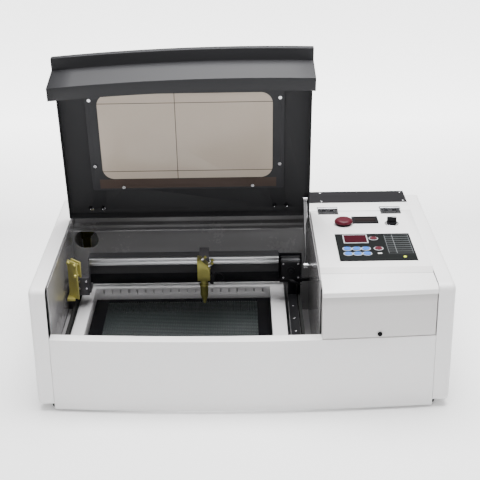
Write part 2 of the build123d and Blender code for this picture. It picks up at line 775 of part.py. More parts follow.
half_motor = motor_side / 2
motor_low_z = motor_z - half_motor
motor_face_y = depth(motor_rear_in)
arm_top_z = motor_low_z - 3
arm_low_z = arm_top_z - 8
with BuildPart() as motor_bracket:
    bracket_x = (beam_right_x + 2, motor_x + half_motor + 3)
    block(bracket_x, (motor_face_y, motor_face_y + motor_plate), (arm_low_z, motor_z + half_motor + 4))
    block(bracket_x, bracket_y, (arm_low_z, arm_top_z))
    block((beam_right_x, bracket_x[0]), (beam_y[0] + beam_wall, motor_face_y + motor_plate),
          (arm_low_z, beam_top_z))
    block(right_rail_x, bracket_y, (right_rail_top + shoe_clearance, arm_low_z))
    belt_clamp(right_belt_x, arm_low_z)
    boss = (motor_x, motor_face_y - 1, motor_z)
    round_bar(boss, (0, 1, 0), motor_boss_radius, motor_plate + 2, mode=Mode.SUBTRACT)
write(motor_bracket.part, "motor_bracket")

motor_shaft_radius = 2.5
with BuildPart() as x_motor:
    block((motor_x - half_motor, motor_x + half_motor), (depth(motor_front_in), motor_face_y),
          (motor_low_z, motor_z + half_motor))
    chamfer(x_motor.edges().filter_by(Axis.Y), length=motor_chamfer)
    mouth = (motor_x, motor_face_y + 1, motor_z)
    bore_radius = motor_shaft_radius + running_clearance
    round_bar(mouth, (0, -1, 0), bore_radius, motor_bore_depth + 1, mode=Mode.SUBTRACT)
write(x_motor.part, "x_motor")

with BuildPart() as x_drive_pulley:
    toothed_pulley((motor_x, x_belt_y, motor_z), (0, 1, 0), pulley_length)
    shaft_start = (motor_x, motor_face_y - motor_bore_depth + 1, motor_z)
    shaft_reach = x_belt_y + pulley_length / 2 - shaft_start[1]
    round_bar(shaft_start, (0, 1, 0), motor_shaft_radius, shaft_reach)
write(x_drive_pulley.part, "x_drive_pulley")

with BuildPart() as x_idler_pulley:
    toothed_pulley((idler_x, x_belt_y, motor_z), (0, 1, 0), pulley_length)
    bore = idler_pin_radius + running_clearance
    bore_start = (idler_x, x_belt_y - pulley_length, motor_z)
    round_bar(bore_start, (0, 1, 0), bore, 2 * pulley_length, mode=Mode.SUBTRACT)
write(x_idler_pulley.part, "x_idler_pulley")

with BuildPart() as x_belt:
    x_belt_plane = Plane(origin=(0, x_belt_y, motor_z), x_dir=(1, 0, 0), z_dir=(0, 1, 0))
    belt_loop(x_belt_plane, (idler_x, motor_x), belt_width)
write(x_belt.part, "x_belt")

# ---------------------------------------------------------------- mirror mounts
mirror_radius = 10.0
mirror_plate = 3.0
mirror_gap = 6.0
mirror_plate_size = (30.0, 34.0)
adjuster_offset = (10.0, 12.0)
adjuster_radius = 1.8
adjuster_head = (3.4, 4.0)


def mirror_mount(centre, away, back_drop):
    """Add a mirror, its two plates and adjusting screws, stacked from centre along away."""
    level = Vector(*away).cross(Vector(0, 0, 1))
    stack = Plane(origin=centre, x_dir=level, z_dir=away)
    up = 1 if stack.y_dir.Z > 0 else -1
    back = 2 * mirror_plate + mirror_gap
    across, along = adjuster_offset
    corners = [(-across, up * along), (across, up * along), (-across, -up * along)]
    plate_width, plate_height = mirror_plate_size
    with BuildSketch(stack) as glass:
        Circle(mirror_radius)
    with BuildSketch(stack.offset(mirror_plate)) as front_plate:
        Rectangle(plate_width, plate_height)
    with BuildSketch(stack.offset(back)) as back_plate:
        with Locations((0, -up * back_drop / 2)):
            Rectangle(plate_width, plate_height + back_drop)
    with BuildSketch(stack.offset(2 * mirror_plate)) as screws:
        with Locations(corners):
            Circle(adjuster_radius)
    with BuildSketch(stack.offset(back + mirror_plate)) as heads:
        with Locations(corners):
            Circle(adjuster_head[0])
    for layer, height in ((glass, mirror_plate), (front_plate, mirror_plate), (screws, mirror_gap),
                          (back_plate, mirror_plate), (heads, adjuster_head[1])):
        extrude(layer.sketch, amount=height)


mirror_2_y = depth(head_in)
mirror_foot = 5.0
mirror_2_drop = beam_line_z - mirror_plate_size[1] / 2 - arm_z[0] - mirror_foot
with BuildPart() as mirror_2_mount:
    mirror_mount((beam_line_x, mirror_2_y, beam_line_z), (-1, -1, 0), mirror_2_drop)
    mount_foot_x = (beam_line_x - 24, beam_line_x - 8)
    block(mount_foot_x, (mirror_2_y - 18, bracket_y[0]), (arm_z[0], arm_z[0] + mirror_foot))
write(mirror_2_mount.part, "mirror_2_mount")

tube_y = depth(tube_in)
with BuildPart() as mirror_1_mount:
    mirror_mount((beam_line_x, tube_y, beam_line_z), (-1, 1, 0), 8)
    block((beam_line_x - 18, beam_line_x - 2), (tube_y + 2, tube_y + 18), (floor_z, beam_line_z - 24))
write(mirror_1_mount.part, "mirror_1_mount")

# ---------------------------------------------------------------- laser head
head_y = depth(head_in)
head_half = head_block_width / 2
plate_y = (head_y + head_half + 1, beam_y[0] - guide_depth - shoe_clearance)
bridge_inset = 1.0
bridge_x = (carriage_x[0] + bridge_inset, carriage_x[1] - bridge_inset)
bridge_z = (beam_top_z + slide_gap, beam_top_z + slide_gap + 5)
jaw_half = 9.0
tab_y = (beam_y[1] + 4, beam_y[1] + 8)
x_belt_top = motor_z + pulley_radius + belt_clearance + belt_thickness
with BuildPart() as carriage:
    block(carriage_x, plate_y, (head_block_z[0], bridge_z[1]))
    block(bridge_x, (plate_y[0], tab_y[1]), bridge_z)
    block(bridge_x, tab_y, (x_belt_top - 4, bridge_z[1]))
    jaw_x = (head_x - jaw_half, head_x + jaw_half)
    block(jaw_x, (x_belt_y - belt_width / 2, tab_y[1]), (x_belt_top + slide_gap, x_belt_top + 6))
write(carriage.part, "carriage")

head_cut = 23.0
beam_mouth_radius = 5.0
sprung_plate = (24.0, 30.0)
sprung_offset = (8.0, 10.0)
spring_gap = 8.0
sprung_head = (3.2, 5.0)
with BuildPart() as mirror_3_block:
    block((head_x - head_half, head_x + head_half), (head_y - head_half, plate_y[0]), head_block_z)
    corner = mirror_3_block.edges().filter_by(Axis.Y).group_by(Axis.Z)[-1].sort_by(Axis.X)[-1]
    chamfer(corner, length=head_cut)
    beam_mouth = (head_x - head_half - 1, head_y, beam_line_z)
    round_bar(beam_mouth, (1, 0, 0), beam_mouth_radius, head_half, mode=Mode.SUBTRACT)
    cut_middle = (head_x + head_half - head_cut / 2, head_y, head_block_z[1] - head_cut / 2)
    slope = Plane(origin=cut_middle, x_dir=(0, 1, 0), z_dir=(1, 0, 1))
    with BuildSketch(slope):
        Rectangle(*sprung_plate)
    extrude(amount=mirror_plate)
    across, along = sprung_offset
    screws = [(-across, -along), (across, -along), (-across, along)]
    with BuildSketch(slope.offset(mirror_plate)):
        with Locations(screws):
            Circle(adjuster_radius)
    extrude(amount=spring_gap)
    with BuildSketch(slope.offset(mirror_plate + spring_gap)):
        with Locations(screws):
            Circle(sprung_head[0])
    extrude(amount=sprung_head[1])
write(mirror_3_block.part, "mirror_3_block")

neck_radius = 7.5
ring_radius = 9.5
barrel_radius = 8.5
ring_z = (165.5, 170.5)
cone_top_z = 146.0
tip_radius = 2.5
gas_bore = 1.2
with BuildPart() as lens_tube:
    with BuildSketch(Plane.XZ.offset(-head_y)):
        with BuildLine():
            Polyline(
                (head_x + gas_bore, head_block_z[0]), (head_x + neck_radius, head_block_z[0]),
                (head_x + neck_radius, ring_z[1]), (head_x + ring_radius, ring_z[1]),
                (head_x + ring_radius, ring_z[0]), (head_x + barrel_radius, ring_z[0]),
                (head_x + barrel_radius, cone_top_z), (head_x + tip_radius, lens_tip_z),
                (head_x + gas_bore, lens_tip_z), close=True,
            )
        make_face()
    revolve(axis=Axis((head_x, head_y, 0), (0, 0, 1)))
write(lens_tube.part, "lens_tube")

block_face_x = head_x + head_half
pointer_x = block_face_x + 8.5
pointer_y = head_y - 5
pointer_top_z = 196.0
pointer_radius = 4.0
pointer_length = 24.0
pointer_tilt = 0.25
pointer_clip = 8.0
lead_radius = 1.2
lead_loop = (18.0, 14.0, 4.0)
with BuildPart() as laser_pointer:
    clip_z = (head_block_z[0] + 2, head_block_z[0] + 2 + pointer_clip)
    block((block_face_x, pointer_x - 3), (pointer_y - pointer_clip / 2, pointer_y + pointer_clip / 2), clip_z)
    pointer_start = Vector(pointer_x, pointer_y, pointer_top_z)
    round_bar(pointer_start, (-pointer_tilt, 0, -1), pointer_radius, pointer_length)
    reach, drop, rise = lead_loop
    lead_start = pointer_start - Vector(0, 0, 1)
    lead_middle = pointer_start + Vector(reach, pointer_clip / 2, -drop / 2)
    lead_end = Vector(block_face_x - 1, head_y + pointer_clip / 2, pointer_top_z - drop - rise)
    with BuildLine():
        lead = ThreePointArc(lead_start, lead_middle, lead_end)
    with BuildSketch(Plane(origin=lead @ 0, z_dir=lead % 0)):
        Circle(lead_radius)
    sweep()
write(laser_pointer.part, "laser_pointer")

# ---------------------------------------------------------------- lid stay at the open pose
lug_closed = Vector(0, hinge_y - stay_lug_from_hinge, stay_lug_z)
lug = (Pos(lug_closed) * Vertex(0, 0, 0)).rotate(lid_hinge, lid_open_angle).center()
stay_end = Vector(0, depth(stay_low_in), stay_low_z)
stay_direction = (stay_end - lug).normalized()
stay_open_length = (stay_end - lug).length
stay_closed_length = (stay_end - lug_closed).length
stay_half = stay_eye_width / 2


def stay_place(distance):
    """Return the point on the stay's axis at a distance from the lid's lug."""
    return Vector(stay_x, 0, 0) + lug + stay_direction * distance


def stay_eye(distance, bore):
    """Add the flat ring at one end of the stay, with a bore if one is given."""
    start = stay_place(distance) - Vector(stay_half, 0, 0)
    round_bar(start, (1, 0, 0), stay_eye_radius, stay_eye_width)
    if bore:
        round_bar(start - Vector(1, 0, 0), (1, 0, 0), bore, stay_eye_width + 2, mode=Mode.SUBTRACT)


tube_start = stay_eye_radius - 1
with BuildPart() as stay_cylinder:
    round_bar(stay_place(tube_start), stay_direction, stay_tube_radius, stay_tube_length)
    hollow = stay_place(tube_start + 3)
    round_bar(hollow, stay_direction, stay_bore_radius, stay_tube_length, mode=Mode.SUBTRACT)
    stay_eye(0, stay_pin_radius + running_clearance)
write(stay_cylinder.part, "stay_cylinder")

piston_length = 5.0
piston_start = stay_open_length - (stay_closed_length - tube_start - 4)
with BuildPart() as stay_rod:
    rod_length = stay_open_length - piston_start
    round_bar(stay_place(piston_start), stay_direction, stay_rod_radius, rod_length)
    piston_radius = stay_bore_radius - 2 * running_clearance
    round_bar(stay_place(piston_start), stay_direction, piston_radius, piston_length)
    stay_eye(stay_open_length, 0)
    gap_to_wall = wall_x - stud_height - slide_gap - stay_x - stay_half
    wall_pin = stay_place(stay_open_length) + Vector(stay_half, 0, 0)
    round_bar(wall_pin, (1, 0, 0), stay_pin_radius, gap_to_wall)
write(stay_rod.part, "stay_rod")

# ---------------------------------------------------------------- control panel and what is on it
panel_z = (hood_top, hood_top + panel_thickness)
panel_y = (depth(panel_in[0]), depth(panel_in[1]))
key_places = [(x, depth(y)) for y in reversed(blue_key_in) for x in blue_key_x]
red_places = [(x, depth(y)) for x, y in red_keys]
with BuildPart() as control_panel:
    block(panel_x, panel_y, panel_z)
    drill_down(key_places + red_places, key_radius + key_clearance, (panel_z[0] - 1, panel_z[1] + 1))
write(control_panel.part, "control_panel")

with BuildPart() as display_lens:
    display_y = (depth(display_in[0]), depth(display_in[1]))
    block(display_x, display_y, (panel_z[1], panel_z[1] + display_rise))
write(display_lens.part, "display_lens")


def key_cap(place):
    """Build one round key with the collar that stops it from below."""
    with BuildPart() as key:
        low_z = hood_top - key_depth
        round_bar((*place, low_z), (0, 0, 1), key_radius, panel_z[1] + key_height - low_z)
        fillet(key.edges().group_by(Axis.Z)[-1], radius=key_edge)
        lip, lip_height = key_collar
        round_bar((*place, low_z), (0, 0, 1), key_radius + lip, lip_height)
    return key.part


for number, place in enumerate(key_places, start=1):
    write(key_cap(place), f"blue_key_{number}")
for number, place in enumerate(red_places, start=1):
    write(key_cap(place), f"red_key_{number}")

stop_place = (stop_x, depth(stop_in))
with BuildPart() as stop_button:
    head_low_z = hood_top + stop_travel + stop_gap
    stem_low_z = hood_top - stop_stem
    round_bar((*stop_place, stem_low_z), (0, 0, 1), stop_collar_radius, head_low_z + 1 - stem_low_z)
    round_bar((*stop_place, head_low_z), (0, 0, 1), stop_radius, stop_head)
    fillet(stop_button.edges().group_by(Axis.Z)[-1], radius=stop_dome)
write(stop_button.part, "stop_button")

selector_place = (selector_x, depth(selector_in))
with BuildPart() as selector_knob:
    stem_low = (*selector_place, hood_top - selector_stem)
    round_bar(stem_low, (0, 0, 1), selector_radius / 2, selector_stem + 1)
    skirt_z = hood_top + screw_clearance
    round_bar((*selector_place, skirt_z), (0, 0, 1), selector_radius, selector_skirt)
    grip_length, grip_width, grip_height = selector_grip
    with BuildSketch(Plane.XY.offset(skirt_z + selector_skirt)):
        with Locations(selector_place):
            SlotOverall(grip_length, grip_width)
    extrude(amount=grip_height)
write(selector_knob.part, "selector_knob")

with BuildPart() as panel_meter:
    meter_y = (depth(meter_in[0]), depth(meter_in[1]))
    block(meter_x, meter_y, (hood_top - meter_depth, hood_top))
    for inset, z, mode in ((-meter_bezel, (hood_top, hood_top + meter_rise), Mode.ADD),
                           (meter_rise, (hood_top + meter_bezel, hood_top + meter_rise + 1), Mode.SUBTRACT)):
        x = (meter_x[0] + inset, meter_x[1] - inset)
        block(x, (meter_y[0] + inset, meter_y[1] - inset), z, mode=mode)
write(panel_meter.part, "panel_meter")

# ---------------------------------------------------------------- tube bay
with BuildPart() as laser_tube:
    tube_length = tube_x[1] - tube_x[0]
    round_bar((tube_x[0], tube_y, beam_line_z), (1, 0, 0), tube_radius, tube_length)
    inside = (tube_x[0] + tube_end_cap, tube_y, beam_line_z)
    inner_radius = tube_radius - tube_wall
    round_bar(inside, (1, 0, 0), inner_radius, tube_length, mode=Mode.SUBTRACT)
    round_bar(inside, (1, 0, 0), tube_core_radius, tube_length - 2 * tube_end_cap)
    round_bar((tube_x[1] - tube_end_cap, tube_y, beam_line_z), (1, 0, 0), inner_radius, tube_end_cap)
write(laser_tube.part, "laser_tube")

with BuildPart() as tube_clamps:
    for x in saddle_x:
        span = (x - saddle_width / 2, x + saddle_width / 2)
        half_saddle = tube_radius + 2 * saddle_wall
        block(span, (tube_y - half_saddle, tube_y + half_saddle), (floor_z, beam_line_z))
        round_bar((span[0], tube_y, beam_line_z), (1, 0, 0), tube_radius + saddle_wall, saddle_width)
    for x in saddle_x:
        start = (x - saddle_width / 2 - 1, tube_y, beam_line_z)
        round_bar(start, (1, 0, 0), tube_radius + running_clearance, saddle_width + 2, mode=Mode.SUBTRACT)
write(tube_clamps.part, "tube_clamps")

duct_walls = (duct_x - duct_width / 2, duct_x + duct_width / 2)
duct_y = (partition_y + sheet, depth(rear_panel_in))
with BuildPart() as exhaust_duct:
    block(duct_walls, duct_y, duct_z)
    block((duct_walls[0] + sheet, duct_walls[1] - sheet), (duct_y[0] - 1, duct_y[1] - sheet),
          (duct_z[0] + sheet, duct_z[1] - sheet), mode=Mode.SUBTRACT)
    neck_start = (duct_x, duct_y[1] - 1, duct_mid_z)
    round_bar(neck_start, (0, 1, 0), collar_neck_radius, sheet + 2)
    round_bar((duct_x, cover_rear_y, duct_mid_z), (0, 1, 0), collar_radius, collar_length)
    bore_start = (duct_x, duct_y[1] - sheet - 1, duct_mid_z)
    round_bar(bore_start, (0, 1, 0), collar_bore_radius, collar_length + 3 * sheet, mode=Mode.SUBTRACT)
write(exhaust_duct.part, "exhaust_duct")

with BuildPart() as mains_inlet:
    inlet_y = depth(rear_panel_in)
    flange_y = cover_rear_y + inlet_flange[2]
    socket_low_y = inlet_y - inlet_depth + 2 * sheet
    for size, y, mode in ((inlet_size, (inlet_y - inlet_depth, cover_rear_y), Mode.ADD),
                          (inlet_flange, (cover_rear_y, flange_y), Mode.ADD),
                          (inlet_socket, (socket_low_y, flange_y + 1), Mode.SUBTRACT)):
        block((inlet_x - size[0] / 2, inlet_x + size[0] / 2), y,
              (inlet_z - size[1] / 2, inlet_z + size[1] / 2), mode=mode)
    with Locations([(inlet_x + dx, socket_low_y + inlet_pin[1] / 2 - 1, inlet_z) for dx in inlet_pins_x]):
        Box(*inlet_pin)
write(mains_inlet.part, "mains_inlet")

with BuildPart() as hose_fittings:
    for x in hose_x:
        through = (x, inlet_y - hose_inner_length, hose_z)
        round_bar(through, (0, 1, 0), hose_radius, sheet + hose_inner_length)
        round_bar((x, cover_rear_y, hose_z), (0, 1, 0), *hose_nut)
        tail_y = cover_rear_y + hose_nut[1]
        round_bar((x, tail_y, hose_z), (0, 1, 0), hose_radius - 1, hose_tail_length)
        for step in hose_barbs:
            round_bar((x, tail_y + step, hose_z), (0, 1, 0), hose_radius, hose_barb_length)
    bore_length = hose_inner_length + sheet + hose_nut[1] + hose_tail_length + 2
    for x in hose_x:
        bore_start = (x, inlet_y - hose_inner_length - 1, hose_z)
        round_bar(bore_start, (0, 1, 0), hose_bore_radius, bore_length, mode=Mode.SUBTRACT)
write(hose_fittings.part, "hose_fittings")

# ---------------------------------------------------------------- electronics bay
supply_x = (190.0, 340.0)
supply_in = (180.0, 310.0)
supply_top_z = 130.0
supply_edge = 2.0
grille_pitch = 10.0
grille_count = 9
with BuildPart() as power_supply:
    block(supply_x, (depth(supply_in[0]), depth(supply_in[1])), (floor_z, supply_top_z))
    chamfer(power_supply.edges().filter_by(Axis.Z), length=supply_edge)
    with BuildSketch(Plane.XY.offset(supply_top_z - sheet)):
        with Locations((sum(supply_x) / 2, depth(sum(supply_in) / 2))):
            with GridLocations(grille_pitch, 0, grille_count, 1):
                SlotOverall(*louvre_size, rotation=90)
    extrude(amount=2 * sheet, mode=Mode.SUBTRACT)
write(power_supply.part, "power_supply")

board_x = (180.0, 330.0)
board_in = (50.0, 150.0)
board_thickness = 1.6
pillar_height = 12.0
pillar_radius = 3.0
pillar_inset = 6.0
board_chips = ((215.0, 80.0, 24.0), (260.0, 110.0, 36.0), (305.0, 85.0, 20.0))
with BuildPart() as controller_board:
    board_z = (floor_z + pillar_height, floor_z + pillar_height + board_thickness)
    block(board_x, (depth(board_in[0]), depth(board_in[1])), board_z)
    for x in (board_x[0] + pillar_inset, board_x[1] - pillar_inset):
        for y in (board_in[0] + pillar_inset, board_in[1] - pillar_inset):
            round_bar((x, depth(y), floor_z), (0, 0, 1), pillar_radius, pillar_height)
    for x, y, size in board_chips:
        block((x - size / 2, x + size / 2), (depth(y - size / 3), depth(y + size / 3)),
              (board_z[1], board_z[1] + size / 3))
write(controller_board.part, "controller_board")
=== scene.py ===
"""Looks of a desktop laser cutter: its finishes and fine pieces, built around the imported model."""

from __future__ import annotations

import json
import logging
import math
from collections.abc import Callable, Iterator
from contextlib import contextmanager
from dataclasses import dataclass
from enum import Enum

import bpy
from mathutils import Euler, Matrix, Vector

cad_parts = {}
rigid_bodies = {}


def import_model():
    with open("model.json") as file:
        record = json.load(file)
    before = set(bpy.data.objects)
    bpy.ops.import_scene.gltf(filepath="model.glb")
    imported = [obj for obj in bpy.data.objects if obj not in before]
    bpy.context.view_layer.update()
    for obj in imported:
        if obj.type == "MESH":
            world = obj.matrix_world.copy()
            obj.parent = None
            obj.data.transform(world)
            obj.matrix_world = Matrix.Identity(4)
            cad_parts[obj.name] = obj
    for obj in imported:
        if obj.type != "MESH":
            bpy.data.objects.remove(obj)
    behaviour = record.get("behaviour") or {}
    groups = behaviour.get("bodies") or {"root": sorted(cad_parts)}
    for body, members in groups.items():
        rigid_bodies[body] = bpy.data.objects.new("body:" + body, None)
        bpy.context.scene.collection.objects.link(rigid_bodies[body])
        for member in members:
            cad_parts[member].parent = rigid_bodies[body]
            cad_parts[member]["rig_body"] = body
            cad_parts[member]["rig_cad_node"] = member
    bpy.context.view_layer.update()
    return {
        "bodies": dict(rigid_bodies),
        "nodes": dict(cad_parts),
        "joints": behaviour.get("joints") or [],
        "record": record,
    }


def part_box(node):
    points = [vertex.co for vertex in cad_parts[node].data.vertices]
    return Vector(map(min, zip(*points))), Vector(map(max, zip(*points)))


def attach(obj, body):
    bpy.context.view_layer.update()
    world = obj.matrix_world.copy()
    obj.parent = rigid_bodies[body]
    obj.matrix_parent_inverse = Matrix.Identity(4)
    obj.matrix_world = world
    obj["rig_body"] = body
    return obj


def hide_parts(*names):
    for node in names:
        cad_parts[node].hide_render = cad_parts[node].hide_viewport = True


LOG = logging.getLogger("laser_cutter")
MM = 0.001
WELD = 0.00001
FLAT_ANGLE = 0.5
SOFT_ANGLE = 40.0
RING_SIDES = 48
Colour = tuple[float, float, float]
Point = tuple[float, float, float]
Profile = list[tuple[float, float]]
Piece = bpy.types.Object
Paint = bpy.types.Material
Socket = bpy.types.NodeSocket


# ------------------------------------------------------------------ shader tools
def _operator(operation: str, swapped: bool = False) -> Callable[[Value, Value | float], Value]:
    """Make one of Value's arithmetic methods.

    Args:
        operation: The Math node's operation.
        swapped: Whether the other term comes first.

    Returns:
        The method.
    """
    def method(self: Value, other: Value | float) -> Value:
        """Add the operation's node."""
        return self.math(operation, other, self) if swapped else self.math(operation, self, other)

    return method


class Value:
    """A number in a finish's node tree; arithmetic on it adds Math nodes."""

    def __init__(self, bench: Bench, socket: Socket) -> None:
        """Wrap one socket of a tree."""
        self.bench = bench
        self.socket = socket

    def math(self, operation: str, *terms: Value | float) -> Value:
        """Add one Math node on some terms."""
        node = self.bench.node("ShaderNodeMath", {"operation": operation}, dict(enumerate(terms)))
        return Value(self.bench, node.outputs[0])

    __add__ = _operator("ADD")
    __radd__ = _operator("ADD", swapped=True)
    __sub__ = _operator("SUBTRACT")
    __rsub__ = _operator("SUBTRACT", swapped=True)
    __mul__ = _operator("MULTIPLY")
    __rmul__ = _operator("MULTIPLY", swapped=True)
    __truediv__ = _operator("DIVIDE")
    least = _operator("MINIMUM")
    most = _operator("MAXIMUM")

    def size(self) -> Value:
        """Return the absolute value."""
        return self.math("ABSOLUTE", self)

    def root(self) -> Value:
        """Return the square root."""
        return self.math("SQRT", self)

    def wrap(self, period: float) -> Value:
        """Return the distance into a repeat of one period, centred on 0."""
        return self.math("PINGPONG", self, period / 2)

    def within(self, limit: float, soft: float) -> Value:
        """Return 1 where the value is under a limit and 0 past it, with an edge as wide as soft."""
        return (0.5 + (limit - self) / soft).most(0.0).least(1.0)

    def near(self, centre: float, half: float, soft: float) -> Value:
        """Return 1 within half of a centre and 0 elsewhere, with a soft edge."""
        return (self - centre).size().within(half, soft)


class Bench:
    """The node tree of one finish, with one principled shader."""

    def __init__(self, name: str) -> None:
        """Make a material with an empty tree and its shader.

        Args:
            name: The material's name.
        """
        self.material = bpy.data.materials.new(name)
        self.material.use_nodes = True
        self.tree = self.material.node_tree
        self.tree.nodes.clear()
        self.shader = self.node("ShaderNodeBsdfPrincipled")
        self.node("ShaderNodeOutputMaterial", {}, {"Surface": self.shader.outputs[0]})
        self._parts: bpy.types.Node | None = None

    def node(self, kind: str, settings: dict | None = None, sockets: dict | None = None) -> bpy.types.Node:
        """Add a node.

        Args:
            kind: The node's type.
            settings: Its own settings, made first.
            sockets: Values or links, by the name or number of each socket.

        Returns:
            The new node.
        """
        node = self.tree.nodes.new(kind)
        for key, value in (settings or {}).items():
            setattr(node, key, value)
        for key, value in (sockets or {}).items():
            self.plug(node.inputs[key], value)
        return node

    def plug(self, socket: Socket, value: object) -> None:
        """Link a socket to a value or another socket, or set its number."""
        source = value.socket if isinstance(value, Value) else value
        if isinstance(source, Socket):
            self.tree.links.new(source, socket)
        else:
            socket.default_value = source

    def set(self, **sockets: object) -> None:
        """Set or link the shader's own sockets, named with _ for a space."""
        for key, value in sockets.items():
            self.plug(self.shader.inputs[key.replace("_", " ")], value)

    def place(self) -> Socket:
        """Return the Object coordinates."""
        return self.node("ShaderNodeTexCoord").outputs["Object"]

    def axis(self, letter: str) -> Value:
        """Return one Object coordinate, X, Y or Z, in metres."""
        if self._parts is None:
            self._parts = self.node("ShaderNodeSeparateXYZ", {}, {0: self.place()})
        return Value(self, self._parts.outputs[letter])

    def noise(self, scale: float, detail: float = 2.0, stretch: Colour = (1, 1, 1)) -> Value:
        """Return cloud noise from 0 to 1.

        Args:
            scale: Cells for each metre.
            detail: How many finer octaves it has.
            stretch: A factor on the cells for each axis.

        Returns:
            The noise.
        """
        mapping = self.node("ShaderNodeMapping", {}, {"Vector": self.place(), "Scale": stretch})
        sockets = {"Vector": mapping.outputs[0], "Scale": scale, "Detail": detail}
        return Value(self, self.node("ShaderNodeTexNoise", {}, sockets).outputs[0])

    def mix(self, share: Value | float, first: object, second: object) -> Socket:
        """Mix two colours, each a colour or a socket; a share of 1 gives the second."""
        colours = [(*c, 1.0) if isinstance(c, tuple) else c for c in (first, second)]
        settings = {"data_type": "RGBA"}
        node = self.node("ShaderNodeMix", settings, {0: share, 6: colours[0], 7: colours[1]})
        return node.outputs[2]

    def bump(self, height: Value, deep: float) -> Socket:
        """Return a normal bent by a height from 0 to 1, where 1 stands for deep metres."""
        sockets = {"Height": height, "Distance": deep, "Strength": 1.0}
        return self.node("ShaderNodeBump", {}, sockets).outputs[0]


# ------------------------------------------------------------------ finishes
@dataclass(frozen=True)
class Enamel:
    """Baked paint on sheet steel, with orange peel and a little handling haze."""

    name: str
    colour: Colour
    roughness: float = 0.3
    coat: float = 0.35
    gloss: float = 0.5
    peel: float = 0.00002
    haze: float = 0.05

    def bench(self) -> Bench:
        """Return the finish's tree."""
        bench = Bench(self.name)
        clouds = bench.noise(9.0, 3.0)
        fine = bench.noise(160.0, 2.0)
        deep = tuple(c * (1 - self.haze) for c in self.colour)
        lift = tuple(min(1.0, c * (1 + self.haze)) for c in self.colour)
        bench.set(
            Base_Color=bench.mix(clouds * 0.75 + fine * 0.25, deep, lift),
            Roughness=self.roughness - 0.05 + clouds * 0.07 + fine * 0.04,
            Normal=bench.bump(bench.noise(420.0, 1.0), self.peel),
            Coat_Weight=self.coat,
            Coat_Roughness=0.12,
            Specular_IOR_Level=self.gloss,
        )
        return bench


@dataclass(frozen=True)
class Metal:
    """Bare or plated metal, with fine lines left by its tool along one axis."""

    name: str
    colour: Colour
    roughness: float = 0.25
    metallic: float = 1.0
    lines: Colour = (1, 1, 1)
    line_depth: float = 0.00001
    tarnish: float = 0.12

    def bench(self) -> Bench:
        """Return the finish's tree."""
        bench = Bench(self.name)
        clouds = bench.noise(45.0, 3.0)
        lines = bench.noise(900.0, 2.0, self.lines)
        dull = tuple(c * (1 - self.tarnish) for c in self.colour)
        bench.set(
            Base_Color=bench.mix(clouds * 0.6 + lines * 0.4, self.colour, dull),
            Metallic=self.metallic,
            Roughness=self.roughness - 0.06 + clouds * 0.1 + lines * 0.06,
            Normal=bench.bump(lines, self.line_depth),
        )
        return bench


@dataclass(frozen=True)
class Plastic:
    """Moulded plastic or rubber with a spark-eroded grain."""

    name: str
    colour: Colour
    roughness: float = 0.4
    grain: float = 0.00003
    coat: float = 0.0
    gloss: float = 0.4

    def bench(self) -> Bench:
        """Return the finish's tree."""
        bench = Bench(self.name)
        grain = bench.noise(1500.0, 2.0)
        clouds = bench.noise(60.0, 2.0)
        lift = tuple(min(1.0, c * 1.18 + 0.004) for c in self.colour)
        bench.set(
            Base_Color=bench.mix(clouds * 0.7 + grain * 0.3, self.colour, lift),
            Roughness=self.roughness - 0.05 + clouds * 0.06 + grain * 0.05,
            Normal=bench.bump(grain, self.grain),
            Coat_Weight=self.coat,
            Coat_Roughness=0.08,
            Specular_IOR_Level=self.gloss,
        )
        return bench


WHITE = Enamel("white_enamel", (0.80, 0.79, 0.79), 0.36, 0.1, 0.35)
CHARCOAL = Enamel("charcoal_enamel", (0.022, 0.022, 0.024), 0.5, 0.0, 0.2)
GREY = Enamel("grey_enamel", (0.30, 0.293, 0.298), 0.24, 0.5)
PARTITION = Enamel("partition_grey", (0.25, 0.246, 0.252), 0.26, 0.4)
BLACK_METAL = Enamel("black_metal", (0.003, 0.003, 0.004), 0.45, 0.0, 0.12)
STEEL = Metal("bright_steel", (0.62, 0.62, 0.64), 0.2)
CHROME = Metal("chrome", (0.70, 0.70, 0.72), 0.12, tarnish=0.3)
GREY_METAL = Metal("grey_metal", (0.06, 0.058, 0.064), 0.45, 0.4)
BRASS = Metal("brass", (0.30, 0.28, 0.08), 0.3, 0.85, tarnish=0.35)
# A lighter, less metallic copy of the brass: painted light on the second mirror's mount, which sits in
# shade.
BRASS_PAINTED_LIGHT = Metal("brass_painted_light", (0.60, 0.54, 0.16), 0.34, 0.4, tarnish=0.4)
BLACK_PLASTIC = Plastic("black_plastic", (0.003, 0.003, 0.004), 0.45, gloss=0.12)
RUBBER = Plastic("black_rubber", (0.010, 0.010, 0.010), 0.7, gloss=0.2)
RED_PLASTIC = Plastic("red_plastic", (0.06, 0.003, 0.010), 0.35, 0.00001, 0.0, 0.2)
RED_LENS = Plastic("red_lens", (0.03, 0.0012, 0.005), 0.4, 0.000003, 0.0, 0.03)
BLUE_PLASTIC = Plastic("blue_plastic", (0.025, 0.13, 0.48), 0.4, 0.00001, 0.0, 0.15)
TUBE_GLASS = Plastic("tube_glass", (0.50, 0.62, 0.66), 0.12, 0.000001, 0.6, 0.6)
BOARD_GREEN = Plastic("board_green", (0.01, 0.10, 0.035), 0.4, 0.00001, 0.2)
COVER_STRIP = Enamel("cover_strip", (0.012, 0.0115, 0.013), 0.6, 0.0, 0.08)
BED_WHITE = Enamel("bed_white", (0.70, 0.69, 0.70), 0.35, 0.25)
BEAM = Enamel("beam_charcoal", (0.026, 0.026, 0.028), 0.45, 0.0, 0.3)
RAIL_SILVER = Metal("guide_silver", (0.62, 0.63, 0.64), 0.3, lines=(0.02, 1, 1))
MESH_WIRE = Enamel("mesh_wire", (0.035, 0.045, 0.045), 0.45, 0.1, 0.3)
STACK = Metal("motor_stack", (0.10, 0.10, 0.105), 0.45, 0.8, lines=(0.05, 4.0, 0.05), line_depth=0.00006)
